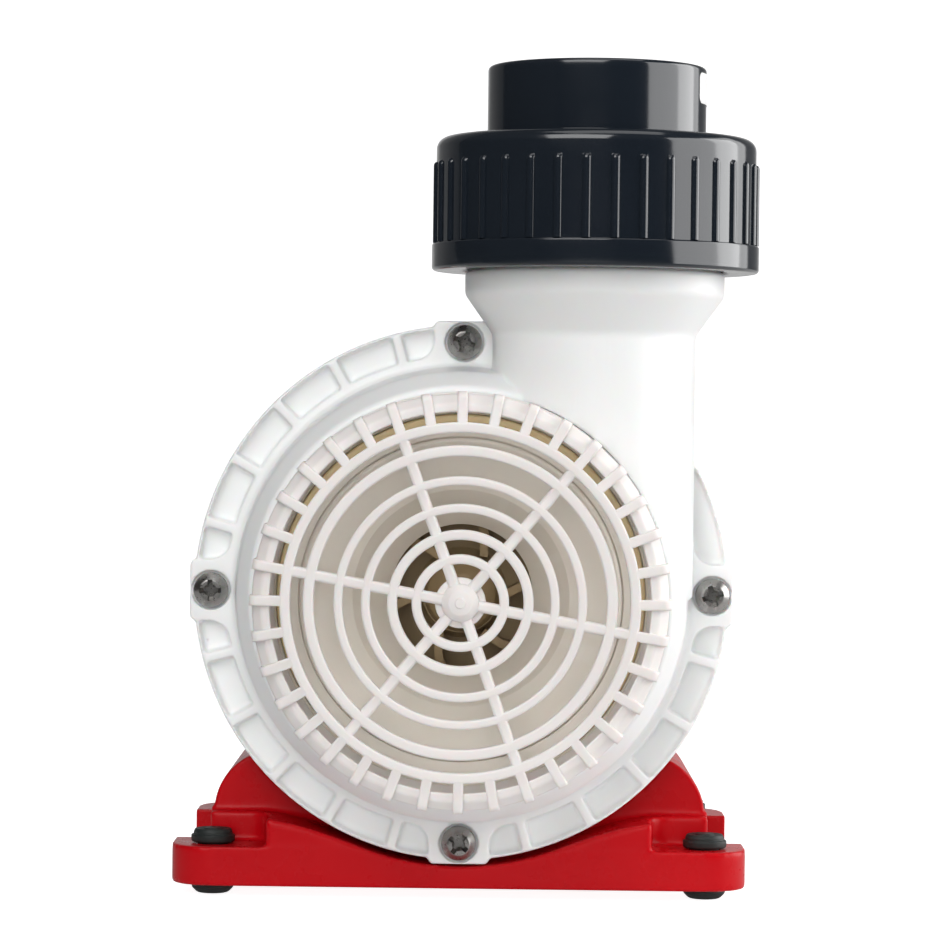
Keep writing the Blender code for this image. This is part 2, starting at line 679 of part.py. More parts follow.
def build_rear_cover():
    cover = turned(
        "rear_cover",
        [(0, -80.5), (COVER_SPIGOT_R, -80.5), (COVER_SPIGOT_R, -81.7), (COVER_SPIGOT_R - 2, -81.7),
         (COVER_SPIGOT_R - 2, -83.9), (COVER_SPIGOT_R, -83.9), (COVER_SPIGOT_R, MOTOR_REAR - GAP),
         (MOTOR_R, MOTOR_REAR - GAP), (MOTOR_R, COVER_REAR + 1.2), (MOTOR_R - 1.2, COVER_REAR),
         (0, COVER_REAR)],
        CRADLE_RED,
        PUMP_FRAME,
        closed=False,
    )
    holes = round_holes("cover_holes", COVER_PITCH_R, 4, 45, COVER_HOLE_R, -95, -75, 12)
    boolean(cover, "DIFFERENCE", holes)
    gland = bmesh.new()
    add_cylinder(gland, 5.4, -95, -75, y=GLAND_Y, segments=24)
    boolean(cover, "DIFFERENCE", place("gland_hole", mesh_of(gland, "gland_hole"), None, PUMP_FRAME))
    build_ring("cover_seal", COVER_SPIGOT_R - 1.7, COVER_SPIGOT_R + 0.1, -83.6, -82.0, FOOT_RUBBER)
    where = {"location": (0, GLAND_Y, 0)}
    turned(
        "gland_body",
        [(5.0, -81), (5.0, COVER_REAR - GAP), (9.0, COVER_REAR - GAP), (9.0, GLAND_COLLAR_REAR),
         (7.0, GLAND_COLLAR_REAR), (7.0, -101.0), (GLAND_BORE_R, -101.0), (GLAND_BORE_R, -81)],
        MAGNET, PUMP_FRAME, steps=24, **where,
    )
    turned(
        "gland_nut",
        [(9.2, -95.0), (9.2, -103.0), (7.0, GLAND_REAR), (GLAND_BORE_R, GLAND_REAR),
         (GLAND_BORE_R, -101.4), (7.4, -101.4), (7.4, -95.0)],
        MAGNET, PUMP_FRAME, steps=24, **where,
    )


# --- Screws -----------------------------------------------------------------------------------------------


def pan_screw(name, head_r, head_h, shank_r, length, seat_z, front, location, parent,
              rotation=(0, 0, 0)):
    """A pan-head screw with a cross recess, its head on seat_z and its shank running back (or, if front is
    False, forward) from there."""
    profile = [(0, head_h), (head_r * 0.6, head_h), (head_r, head_h * 0.5), (head_r, 0), (shank_r, 0),
               (shank_r, -length), (0, -length)]
    if not front:
        rotation = (math.pi, 0, 0)
    where = {"location": Vector(location) + Vector((0, 0, seat_z)), "rotation": rotation}
    screw = turned(name, profile, STAINLESS, parent, steps=12, closed=False, **where)
    recess = bmesh.new()
    reach, half = head_r * 0.5, head_r * 0.11
    add_box(recess, (-reach, -half, head_h * 0.35), (reach, half, head_h + 1))
    first = place(name + "_recess_a", mesh_of(recess, name + "_recess_a"), None, parent, **where)
    recess = bmesh.new()
    add_box(recess, (-half, -reach, head_h * 0.34), (half, reach, head_h + 1.1))
    second = place(name + "_recess_b", mesh_of(recess, name + "_recess_b"), None, parent, **where)
    boolean(screw, "DIFFERENCE", first)
    boolean(screw, "DIFFERENCE", second)


def build_screws():
    for index in range(4):
        turn = math.radians(90 * index)
        spot = (SCREW_PITCH_R * math.sin(turn), SCREW_PITCH_R * math.cos(turn), 0)
        pan_screw(f"housing_screw_{index + 1}", 4.0, 2.6, 2.0, 17.8, 0.0, True, spot, PUMP_FRAME)
        turn = math.radians(45 + 90 * index)
        spot = (COVER_PITCH_R * math.sin(turn), COVER_PITCH_R * math.cos(turn), 0)
        pan_screw(f"cover_screw_{index + 1}", 3.0, 2.0, 1.45, 12.0, COVER_REAR - GAP, False, spot,
                  PUMP_FRAME)


# --- Union ------------------------------------------------------------------------------------------------


def build_union():
    nut = turned(
        "union_nut",
        [(31.0, NUT_TOP), (33.1, NUT_TOP - 0.9), (34.2, NUT_TOP - 2.4), (NUT_R, NUT_TOP - 4.2),
         (NUT_R, NUT_BAND_TOP), (NUT_BAND_R, NUT_BAND_TOP - 0.4), (NUT_BAND_R, NUT_BOTTOM + 1.0),
         (NUT_BAND_R - 1.0, NUT_BOTTOM), (28.6, NUT_BOTTOM), (28.6, 95.0), (SOCKET_R + 0.5, 95.0),
         (SOCKET_R + 0.5, NUT_TOP)],
        UNION_GREY,
        OUTLET_FRAME,
        steps=36,
    )
    ribs = bmesh.new()
    half = NUT_RIB_WIDTH / 2
    for index in range(NUT_RIBS):
        made = add_box(ribs, (-half, NUT_R - 0.8, NUT_BAND_TOP - 0.8), (half, NUT_RIB_R, NUT_RIB_TOP))
        turn_about_z(ribs, made, (index + 0.5) * 360 / NUT_RIBS)
    boolean(nut, "UNION", place("nut_ribs", mesh_of(ribs, "nut_ribs"), None, OUTLET_FRAME))
    turned(
        "union_end",
        [(SOCKET_R - 0.9, SOCKET_TOP), (SOCKET_R, SOCKET_TOP - 0.9), (SOCKET_R, 94.5), (27.8, 94.5),
         (27.8, 86.6), (OUTLET_BORE_R, 86.6), (OUTLET_BORE_R, 92.0), (SOCKET_BORE_R, 92.0),
         (SOCKET_BORE_R, SOCKET_TOP - 1.2), (SOCKET_BORE_R + 1.2, SOCKET_TOP)],
        UNION_GREY,
        OUTLET_FRAME,
    )
    build_ring("union_seal", 20.5, 24.5, COLLAR_TOP + GAP, 86.3, FOOT_RUBBER, 32, OUTLET_FRAME)


# --- Cradle and feet --------------------------------------------------------------------------------------


def wall_height(x):
    """The top of the cradle's end walls: an S-curve from the low middle up to the ears."""
    share = min(abs(x) / WALL_RISE_X, 1.0)
    return WALL_LOW + (WALL_HIGH - WALL_LOW) * share * share * (3 - 2 * share)


def cradle_outlines():
    """The end wall's outline and the body's outline, as x and height."""
    count = 16
    top = [BODY_HALF * (1 - 2 * i / count) for i in range(count + 1)]
    wall = [(-BODY_HALF, 5.0), (BODY_HALF, 5.0)] + [(x, wall_height(x)) for x in top]
    ear = arc(EAR_X, EAR_CENTRE_HEIGHT, EAR_TOP - EAR_CENTRE_HEIGHT, 8, 90, 6)
    right = [(BODY_HALF, 5.0), (BODY_HALF, BODY_TOP), *ear]
    body = right + [(-x, y) for x, y in reversed(right)]
    return wall, body


def build_cradle():
    front_y, rear_y = FLANGE_FACE_Y - BASE_FRONT, FLANGE_FACE_Y - BASE_REAR
    plate = rounded_box_outline(BASE_HALF, front_y, rear_y, TAB_CORNER_R)
    cradle = extrude_outlines("base_cradle", [plate], BASE_UNDERSIDE, TAB_TOP, CRADLE_RED, None)
    floor = {"location": (0, -AXIS_HEIGHT, 0)}
    solids = zip(("cradle_wall", "cradle_body"), cradle_outlines(), (0.3, SADDLE_SETBACK))
    for name, outline, setback in solids:
        rear, front = BASE_REAR + setback, BASE_FRONT - setback
        boolean(cradle, "UNION", extrude_outlines(name, [outline], rear, front, None, PUMP_FRAME, **floor))

    recesses = bmesh.new()
    side = 80.0
    for x_side in (-1, 1):
        x_low, x_high = sorted((RECESS_X * x_side, side * x_side))
        add_box(recesses, (x_low, TAB_TOP, BASE_FRONT - RECESS_DEPTH), (x_high, side, side))
        add_box(recesses, (x_low, TAB_TOP, -2 * side), (x_high, side, BASE_REAR + RECESS_DEPTH))
        x_low, x_high = sorted((BODY_HALF * x_side, side * x_side))
        add_box(recesses, (x_low, 0.0, BASE_REAR + 19.5), (x_high, side, BASE_FRONT - 19.5))
    recess_cutter = place("cradle_recesses", mesh_of(recesses, "cradle_recesses"), None, PUMP_FRAME, **floor)
    boolean(cradle, "DIFFERENCE", recess_cutter)
    seat = bmesh.new()
    add_cylinder(seat, MOTOR_R + 0.4, -120, -10, segments=48)
    boolean(cradle, "DIFFERENCE", place("cradle_seat", mesh_of(seat, "cradle_seat"), None, PUMP_FRAME))
    relief = bmesh.new()
    add_cylinder(relief, LUG_R + 0.5, -20.5, 6, segments=48)
    boolean(cradle, "DIFFERENCE", place("flange_relief", mesh_of(relief, "flange_relief"), None, PUMP_FRAME))
    low = -AXIS_HEIGHT - 3
    for holes in (
        cradle_screw_holes("cradle_holes", CRADLE_HOLE_R, low, -45),
        cradle_screw_holes("cradle_counterbores", COUNTERBORE_R, low, -AXIS_HEIGHT + COUNTERBORE_DEPTH),
    ):
        boolean(cradle, "DIFFERENCE", holes)

    feet = bmesh.new()
    for x, y in foot_places():
        add_cylinder(feet, FOOT_HOLE_R, -5, 20, x, y, 20)
    boolean(cradle, "DIFFERENCE", place("foot_holes", mesh_of(feet, "foot_holes"), None, None))
    for index, z in enumerate(CRADLE_SCREW_Z):
        pan_screw(f"cradle_screw_{index + 1}", 4.6, 2.8, 2.45, 14.6, 0.0, True,
                  (0, -AXIS_HEIGHT + COUNTERBORE_DEPTH - GAP, z), PUMP_FRAME, rotation=(math.pi / 2, 0, 0))


def foot_places():
    front_y = FLANGE_FACE_Y - BASE_FRONT + TAB_CORNER_R
    rear_y = FLANGE_FACE_Y - BASE_REAR - TAB_CORNER_R
    return [(x, y) for y in (front_y, rear_y) for x in (-FOOT_X, FOOT_X)]


def build_feet():
    names = ("foot_front_left", "foot_front_right", "foot_rear_left", "foot_rear_right")
    top = TAB_TOP + GAP
    profile = [(0, top + 3.1), (FOOT_R - 0.6, top + 3.1), (FOOT_R, top + 2.5), (FOOT_R, top), (3.2, top),
               (3.2, BASE_UNDERSIDE - GAP), (4.7, BASE_UNDERSIDE - GAP), (4.2, 0.9), (3.0, 0.0), (0, 0.0)]
    for name, (x, y) in zip(names, foot_places()):
        turned(name, profile, FOOT_RUBBER, None, steps=16, closed=False, location=(x, y, 0))


build_volute_housing()
build_intake_strainer()
build_intake_plate()
build_rotor()
build_bearings()
build_stator()
build_motor_housing()
build_rear_cover()
build_screws()
build_union()
build_cradle()
build_feet()
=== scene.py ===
"""The looks of the aquarium return pump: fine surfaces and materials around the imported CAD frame."""

import json
import math

import bmesh
import bpy
from mathutils import Matrix, Vector


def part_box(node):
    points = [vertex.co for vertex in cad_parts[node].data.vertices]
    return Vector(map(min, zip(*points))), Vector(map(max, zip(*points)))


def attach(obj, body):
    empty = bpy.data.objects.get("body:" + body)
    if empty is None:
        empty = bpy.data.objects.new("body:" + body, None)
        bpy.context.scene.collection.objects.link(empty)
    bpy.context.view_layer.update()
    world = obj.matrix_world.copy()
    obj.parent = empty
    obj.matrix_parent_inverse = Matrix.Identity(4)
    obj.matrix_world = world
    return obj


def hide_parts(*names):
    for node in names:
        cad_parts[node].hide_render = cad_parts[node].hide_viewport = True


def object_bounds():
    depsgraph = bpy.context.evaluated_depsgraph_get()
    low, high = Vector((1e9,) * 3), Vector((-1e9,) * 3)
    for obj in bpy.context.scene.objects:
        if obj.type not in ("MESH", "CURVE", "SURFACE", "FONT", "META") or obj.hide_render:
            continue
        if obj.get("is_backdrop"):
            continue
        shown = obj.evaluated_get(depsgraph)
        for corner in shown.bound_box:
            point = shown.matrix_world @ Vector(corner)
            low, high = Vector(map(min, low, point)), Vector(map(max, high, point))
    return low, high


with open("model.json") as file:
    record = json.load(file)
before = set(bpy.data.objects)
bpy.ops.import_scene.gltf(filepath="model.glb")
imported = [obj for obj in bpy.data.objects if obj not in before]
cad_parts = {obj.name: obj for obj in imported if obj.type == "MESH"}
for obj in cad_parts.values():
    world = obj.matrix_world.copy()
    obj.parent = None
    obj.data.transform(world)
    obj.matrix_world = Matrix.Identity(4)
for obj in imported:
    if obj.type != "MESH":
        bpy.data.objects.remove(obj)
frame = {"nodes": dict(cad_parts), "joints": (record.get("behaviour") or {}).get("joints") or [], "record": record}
cad_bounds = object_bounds()

MM = 0.001
JOINTS = {joint["name"]: joint for joint in frame["joints"]}
AXIS = Vector(JOINTS["rotor_spin"]["pos_m"])
OUTLET_AXIS = Vector(JOINTS["union_nut_turn"]["pos_m"])

# The pump's own frame: x right, y up and z out of the intake, from the flange's front face on the shaft axis.
PUMP = Matrix.Translation(AXIS) @ Matrix.Rotation(math.pi / 2, 4, "X")
# The outlet's frame: z up the outlet, from the height of the shaft axis.
OUTLET = Matrix.Translation((OUTLET_AXIS.x, OUTLET_AXIS.y, AXIS.z))
WORLD = Matrix.Identity(4)


# --- Camera, floor and light ------------------------------------------------------------------------------

CAMERA_DISTANCE, CAMERA_HEIGHT, CAMERA_SIDEWAYS = 0.800, 0.1053, 0.0043
CAMERA_PITCH, CAMERA_YAW, CAMERA_ROLL = (math.radians(degrees) for degrees in (0.82, 0.16, 0.7))
LENS_MM, SENSOR_MM = 139.1, 36.0

TENT_FRONT, TENT_LEFT, TENT_RIGHT, TENT_TOP = 0.20, 0.60, 0.72, 1.25

SWEEP_FRONT, SWEEP_BACK, SWEEP_HALF_WIDTH = -2.5, 1.6, 3.0
SWEEP_RISE, SWEEP_BEND, SWEEP_BEND_STEPS = 2.6, 0.6, 16
SWEEP_DROP = 0.0002
# In front of the object the sweep is dark, and sends no light back into it. It pales between these two y.
SWEEP_PALING = (-0.14, -0.108)
SWEEP_SHADES = (0.3, 0.6)
SWEEP_NEAR_GLOW, SWEEP_FAR_GLOW, SWEEP_SIDE_SHARE = 0.15, 0.32, 0.15
SWEEP_SEEN = 0.93


def mapped(tree, output, start, end, low, high, curve="LINEAR"):
    """The output stretched from start..end to low..high, and held at either end."""
    node = tree.nodes.new("ShaderNodeMapRange")
    node.interpolation_type = curve
    for socket, value in zip(node.inputs[1:5], (start, end, low, high)):
        socket.default_value = value
    tree.links.new(output, node.inputs["Value"])
    return node.outputs["Result"]


def calculated(tree, operation, *outputs):
    node = tree.nodes.new("ShaderNodeMath")
    node.operation = operation
    for output, socket in zip(outputs, node.inputs):
        tree.links.new(output, socket)
    return node.outputs["Value"]


def separated(tree, coordinates):
    node = tree.nodes.new("ShaderNodeSeparateXYZ")
    tree.links.new(tree.nodes.new("ShaderNodeTexCoord").outputs[coordinates], node.inputs["Vector"])
    return node.outputs


def add_camera():
    """A long lens level with the union's foot, tipped down and rolled a little."""
    data = bpy.data.cameras.new("camera")
    data.lens = LENS_MM
    data.sensor_width = SENSOR_MM
    camera = bpy.data.objects.new("camera", data)
    place = Matrix.Translation((AXIS.x + CAMERA_SIDEWAYS, AXIS.y - CAMERA_DISTANCE, CAMERA_HEIGHT))
    aim = Matrix.Rotation(CAMERA_YAW, 4, "Z") @ Matrix.Rotation(math.pi / 2 - CAMERA_PITCH, 4, "X")
    camera.matrix_world = place @ aim @ Matrix.Rotation(CAMERA_ROLL, 4, "Z")
    bpy.context.scene.collection.objects.link(camera)
    bpy.context.scene.camera = camera


def add_world():
    """A light tent: bright above and to the right, softer to the left, and dark behind the camera."""
    world = bpy.data.worlds.new("studio")
    world.use_nodes = True
    tree = world.node_tree
    direction = separated(tree, "Generated")
    side = mapped(tree, direction["X"], -0.3, 0.4, TENT_LEFT, TENT_RIGHT, "SMOOTHSTEP")
    before_camera = mapped(tree, direction["Y"], -0.78, -0.66, 0.0, 1.0, "SMOOTHSTEP")
    above = mapped(tree, direction["Z"], 0.12, 0.34, TENT_FRONT, TENT_TOP, "SMOOTHSTEP")
    walls = calculated(tree, "MULTIPLY", side, before_camera)
    strength = calculated(tree, "MAXIMUM", walls, above)
    tree.links.new(strength, tree.nodes["Background"].inputs["Strength"])
    bpy.context.scene.world = world


def sweep_material():
    """Matt and pale, with a glow that fades to the sides and grows towards the back."""
    material = bpy.data.materials.new("pale_sweep")
    material.use_nodes = True
    tree = material.node_tree
    shader = tree.nodes["Principled BSDF"]
    shader.inputs["Roughness"].default_value = 0.9
    shader.inputs["Specular IOR Level"].default_value = 0.1
    shader.inputs["Emission Color"].default_value = (1.0, 1.0, 1.0, 1.0)
    spot = separated(tree, "Object")
    tree.links.new(mapped(tree, spot["Y"], *SWEEP_PALING, *SWEEP_SHADES), shader.inputs["Base Color"])
    near = mapped(tree, spot["Y"], *SWEEP_PALING, 0.0, SWEEP_NEAR_GLOW)
    far = mapped(tree, spot["Y"], 0.4, 0.9, 1.0, SWEEP_FAR_GLOW / SWEEP_NEAR_GLOW)
    aside = mapped(tree, calculated(tree, "ABSOLUTE", spot["X"]), 0.45, 0.65, 1.0, SWEEP_SIDE_SHARE)
    glow = calculated(tree, "MULTIPLY", calculated(tree, "MULTIPLY", near, far), aside)
    # The camera sees an even white sweep, and the object gets only the softer glow.
    seen = tree.nodes.new("ShaderNodeMapRange")
    seen.inputs["To Max"].default_value = SWEEP_SEEN
    tree.links.new(tree.nodes.new("ShaderNodeLightPath").outputs["Is Camera Ray"], seen.inputs["Value"])
    tree.links.new(glow, seen.inputs["To Min"])
    tree.links.new(seen.outputs["Result"], shader.inputs["Emission Strength"])
    return material


def add_floor():
    """A pale sweep: a floor that curves up behind the object."""
    bend_start = SWEEP_BACK - SWEEP_BEND
    line = [(SWEEP_FRONT, 0.0), (bend_start, 0.0)]
    for i in range(1, SWEEP_BEND_STEPS + 1):
        turn = math.pi / 2 * i / SWEEP_BEND_STEPS
        line.append((bend_start + SWEEP_BEND * math.sin(turn), SWEEP_BEND - SWEEP_BEND * math.cos(turn)))
    line.append((SWEEP_BACK, SWEEP_RISE))
    bm = bmesh.new()
    sides = (-SWEEP_HALF_WIDTH, SWEEP_HALF_WIDTH)
    rows = [[bm.verts.new((x, y, z - SWEEP_DROP)) for x in sides] for y, z in line]
    for low, high in zip(rows, rows[1:]):
        bm.faces.new((low[0], low[1], high[1], high[0]))
    mesh = bpy.data.meshes.new("floor")
    bm.to_mesh(mesh)
    bm.free()
    mesh.shade_smooth()
    mesh.materials.append(sweep_material())
    floor = bpy.data.objects.new("floor", mesh)
    bpy.context.scene.collection.objects.link(floor)
    floor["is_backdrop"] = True


def add_softbox(name, location, size, power, mirrored=True):
    """A rectangular light facing the object's middle. One that isn't mirrored leaves no highlight."""
    data = bpy.data.lights.new(name, "AREA")
    data.shape = "RECTANGLE"
    data.size, data.size_y = size
    data.energy = power
    light = bpy.data.objects.new(name, data)
    light.location = location
    light.visible_glossy = mirrored
    middle = Vector((0.02, AXIS.y, 0.09))
    light.rotation_euler = (middle - Vector(location)).to_track_quat("-Z", "Y").to_euler()
    bpy.context.scene.collection.objects.link(light)


def add_studio():
    add_world()
    add_floor()
    add_softbox("key_right", (0.95, -0.10, 0.25), (1.2, 0.95), 10.0)
    add_softbox("edge_right", (0.80, 0.26, 0.28), (0.6, 0.9), 3.5)
    add_softbox("front_top", (-0.25, -1.00, 0.75), (0.9, 0.7), 6.5)
    add_softbox("front_fill", (-0.10, -1.30, 0.20), (0.7, 0.5), 6.5, mirrored=False)
    add_softbox("top", (0.1, -0.25, 1.1), (0.9, 0.6), 2.0)
    bpy.context.scene.view_settings.view_transform = "Standard"


add_camera()
add_studio()


# --- Materials --------------------------------------------------------------------------------------------


class Nodes:
    """Short ways to add and link shader nodes of one material."""

    def __init__(self, name):
        self.material = bpy.data.materials.new(name)
        self.material.use_nodes = True
        self.tree = self.material.node_tree
        self.shader = self.tree.nodes["Principled BSDF"]
        self.place = self.add("ShaderNodeTexCoord").outputs["Object"]

    def add(self, kind, **settings):
        node = self.tree.nodes.new(kind)
        for key, value in settings.items():
            setattr(node, key, value)
        return node

    def link(self, output, target):
        self.tree.links.new(output, target)

    def noise(self, scale, detail=3.0, roughness=0.5, stretch=None):
        node = self.add("ShaderNodeTexNoise")
        node.inputs["Scale"].default_value = scale
        node.inputs["Detail"].default_value = detail
        node.inputs["Roughness"].default_value = roughness
        source = self.place
        if stretch is not None:
            mapping = self.add("ShaderNodeMapping")
            mapping.inputs["Scale"].default_value = stretch
            self.link(source, mapping.inputs["Vector"])
            source = mapping.outputs["Vector"]
        self.link(source, node.inputs["Vector"])
        return node.outputs["Fac"]

    def ranged(self, value, low, high, from_low=0.3, from_high=0.7):
        node = self.add("ShaderNodeMapRange")
        node.inputs["From Min"].default_value = from_low
        node.inputs["From Max"].default_value = from_high
        node.inputs["To Min"].default_value = low
        node.inputs["To Max"].default_value = high
        self.link(value, node.inputs["Value"])
        return node.outputs["Result"]

    def mixed(self, factor, first, second):
        node = self.add("ShaderNodeMix", data_type="RGBA")
        # A Mix node has sockets of each type; these are its factor and its two colours.
        for socket, value in ((node.inputs[6], first), (node.inputs[7], second)):
            if isinstance(value, tuple):
                socket.default_value = (*value, 1.0)
            else:
                self.link(value, socket)
        self.link(factor, node.inputs[0])
        return node.outputs[2]

    def edges(self, low=0.505, high=0.56):
        """1 along convex edges, 0 elsewhere."""
        geometry = self.add("ShaderNodeNewGeometry")
        return self.ranged(geometry.outputs["Pointiness"], 0.0, 1.0, low, high)

    def bump(self, height, strength, distance):
        node = self.add("ShaderNodeBump")
        node.inputs["Strength"].default_value = strength
        node.inputs["Distance"].default_value = distance
        self.link(height, node.inputs["Height"])
        self.link(node.outputs["Normal"], self.shader.inputs["Normal"])


def scaled(colour, factor):
    return tuple(min(1.0, channel * factor) for channel in colour)


def moulded_plastic(name, colour, roughness, grain=2500.0, bump=0.08, mottle=0.04, wear=0.1,
                    subsurface=0.0, coat=0.0, tint=None, specular=0.5):
    """Injection-moulded plastic: slow colour drift, fine grain, faint rubbed edges and uneven gloss."""
    nodes = Nodes(name)
    drift = nodes.ranged(nodes.noise(28.0, 2.0), 0.0, 1.0)
    darker = scaled(tint or colour, 1.0 - mottle)
    base = nodes.mixed(drift, darker, scaled(colour, 1.0 + mottle * 0.5))
    specks = nodes.ranged(nodes.noise(900.0, 2.0, 0.6), 0.0, mottle, 0.62, 0.8)
    base = nodes.mixed(specks, base, scaled(colour, 0.55))
    worn = nodes.add("ShaderNodeMath", operation="MULTIPLY")
    nodes.link(nodes.edges(), worn.inputs[0])
    worn.inputs[1].default_value = wear
    base = nodes.mixed(worn.outputs[0], base, scaled(colour, 1.35))
    nodes.link(base, nodes.shader.inputs["Base Color"])
    gloss = nodes.noise(120.0, 4.0, 0.6)
    nodes.link(nodes.ranged(gloss, roughness * 0.85, roughness * 1.2), nodes.shader.inputs["Roughness"])
    nodes.bump(nodes.noise(grain, 2.0, 0.5), bump, 0.00004)
    nodes.shader.inputs["Specular IOR Level"].default_value = specular
    if subsurface:
        nodes.shader.inputs["Subsurface Weight"].default_value = subsurface
        nodes.shader.inputs["Subsurface Scale"].default_value = 0.002
    if coat:
        nodes.shader.inputs["Coat Weight"].default_value = coat
        nodes.shader.inputs["Coat Roughness"].default_value = 0.05
    return nodes.material


def rubber(name, colour, roughness=0.55):
    """Moulded rubber with a dusty bloom and a fine grain."""
    nodes = Nodes(name)
    bloom = nodes.ranged(nodes.noise(160.0, 5.0, 0.65), 0.0, 0.35, 0.45, 0.8)
    nodes.link(nodes.mixed(bloom, colour, scaled(colour, 3.0)), nodes.shader.inputs["Base Color"])
    gloss = nodes.ranged(nodes.noise(300.0), roughness * 0.85, roughness * 1.15)
    nodes.link(gloss, nodes.shader.inputs["Roughness"])
    nodes.bump(nodes.noise(3500.0, 3.0, 0.6), 0.25, 0.00005)
    return nodes.material


def machined_steel(name, colour, roughness=0.28, stretch=(1.0, 1.0, 1.0), metallic=1.0):
    """Turned or cold-formed metal: fine tool lines, darker tarnish in patches and bright edges."""
    nodes = Nodes(name)
    tarnish = nodes.ranged(nodes.noise(240.0, 5.0, 0.6), 0.0, 0.5, 0.45, 0.75)
    base = nodes.mixed(tarnish, colour, scaled(colour, 0.55))
    base = nodes.mixed(nodes.edges(0.51, 0.6), base, scaled(colour, 1.2))
    nodes.link(base, nodes.shader.inputs["Base Color"])
    nodes.shader.inputs["Metallic"].default_value = metallic
    lines = nodes.noise(1800.0, 4.0, 0.7, stretch)
    nodes.link(nodes.ranged(lines, roughness * 0.8, roughness * 1.5), nodes.shader.inputs["Roughness"])
    nodes.bump(lines, 0.12, 0.00004)
    return nodes.material


def layered(name, first, second, pitch, roughness, metallic, bump=0.4):
    """Thin layers one on another, such as laminations or turns of wire, a pitch apart along y."""
    nodes = Nodes(name)
    wave = nodes.add("ShaderNodeTexWave", wave_type="BANDS", bands_direction="Y")
    wave.inputs["Scale"].default_value = 0.314 / pitch
    wave.inputs["Distortion"].default_value = 0.6
    nodes.link(nodes.place, wave.inputs["Vector"])
    nodes.link(nodes.mixed(wave.outputs["Fac"], second, first), nodes.shader.inputs["Base Color"])
    nodes.shader.inputs["Metallic"].default_value = metallic
    gloss = nodes.ranged(nodes.noise(400.0), roughness * 0.8, roughness * 1.3)
    nodes.link(gloss, nodes.shader.inputs["Roughness"])
    nodes.bump(wave.outputs["Fac"], bump, 0.0001)
    return nodes.material


MATERIALS = {
    "housing_white": moulded_plastic(
        "housing_white", (0.87, 0.875, 0.87), 0.34, mottle=0.02, wear=0.03, subsurface=0.15),
    "strainer_white": moulded_plastic(
        "strainer_white", (0.80, 0.765, 0.745), 0.42, mottle=0.03, wear=0.05, subsurface=0.2),
    "plate_beige": moulded_plastic("plate_beige", (0.86, 0.805, 0.72), 0.45, mottle=0.05, subsurface=0.1),
    # Painted bounce light: the seal's amber, brightened, stands in for warm light bouncing between beige walls in
    # its deep slot.
    "seal_amber": moulded_plastic("seal_amber", (0.97, 0.76, 0.45), 0.4, mottle=0.08, subsurface=0.2),
    "union_grey": moulded_plastic(
        "union_grey", (0.010, 0.014, 0.020), 0.12, mottle=0.08, bump=0.03, wear=0.1, specular=0.85),
    "cradle_red": moulded_plastic(
        "cradle_red", (0.49, 0.003, 0.007), 0.28, mottle=0.03, bump=0.03, wear=0.1, coat=0.05,
        tint=(0.46, 0.002, 0.006), specular=0.14),
    "foot_rubber": rubber("foot_rubber", (0.012, 0.016, 0.015)),
    "stainless": machined_steel("stainless", (0.36, 0.35, 0.335)),
    "impeller_brown": moulded_plastic("impeller_brown", (0.36, 0.26, 0.14), 0.45, mottle=0.1),
    "label_paper": moulded_plastic("label_paper", (0.80, 0.80, 0.79), 0.5, grain=6000.0, mottle=0.03),
    "ceramic": moulded_plastic("ceramic", (0.80, 0.78, 0.73), 0.15, mottle=0.03, coat=0.3),
    "magnet_black": moulded_plastic("magnet_black", (0.018, 0.019, 0.021), 0.4, mottle=0.1, wear=0.3),
    "core_steel": layered("core_steel", (0.40, 0.40, 0.41), (0.10, 0.10, 0.11), 0.0005, 0.4, 1.0),
    "copper": layered("copper", (0.72, 0.30, 0.12), (0.22, 0.07, 0.02), 0.0008, 0.3, 0.8, bump=0.8),
    "can_grey": moulded_plastic("can_grey", (0.09, 0.09, 0.10), 0.5, mottle=0.08),
}
SLOT_OF = {part["node"]: part["material_slot"] for part in frame["record"]["subparts"]}
for node, cad_object in frame["nodes"].items():
    cad_object.data.materials.clear()
    cad_object.data.materials.append(MATERIALS[SLOT_OF[node]])


# --- Shape tools ------------------------------------------------------------------------------------------


def finish_mesh(name, bm, place, material, body, replaced, sharp_deg=40.0):
    """A shown piece from a bmesh in millimetres of its own frame."""
    mesh = bpy.data.meshes.new(name)
    bmesh.ops.recalc_face_normals(bm, faces=bm.faces)
    bm.to_mesh(mesh)
    bm.free()
    return show_piece(name, mesh, place @ Matrix.Scale(MM, 4), material, body, replaced, sharp_deg)


def show_piece(name, mesh, place, material, body, replaced, sharp_deg=40.0):
    """A shown piece from a mesh, with its body and the CAD nodes that it stands for."""
    mesh.transform(place)
    mesh.shade_smooth()
    mesh.set_sharp_from_angle(angle=math.radians(sharp_deg))
    mesh.materials.clear()
    mesh.materials.append(MATERIALS[material])
    obj = bpy.data.objects.new(name, mesh)
    bpy.context.scene.collection.objects.link(obj)
    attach(obj, body)
    if replaced:
        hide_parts(*replaced)
    return obj


def rounded_profile(points, steps=5):
    """A closed outline of (x, y, corner radius) with its corners rounded into arcs."""
    outline = []
    for index, (x, y, radius) in enumerate(points):
        corner = Vector((x, y))
        before = Vector(points[index - 1][:2]) - corner
        after = Vector(points[(index + 1) % len(points)][:2]) - corner
        if radius <= 0 or before.length < 1e-6 or after.length < 1e-6:
            outline.append(corner)
            continue
        half = before.angle(after) / 2
        reach = min(radius / math.tan(half), before.length * 0.49, after.length * 0.49)
        true_radius = reach * math.tan(half)
        middle = (before.normalized() + after.normalized()).normalized()
        centre = corner + middle * (true_radius / math.sin(half))
        start = corner + before.normalized() * reach - centre
        end = corner + after.normalized() * reach - centre
        sweep = start.angle_signed(end)
        for i in range(steps + 1):
            turn = Matrix.Rotation(-sweep * i / steps, 2)
            outline.append(centre + turn @ start)
    return [tuple(point) for point in outline]


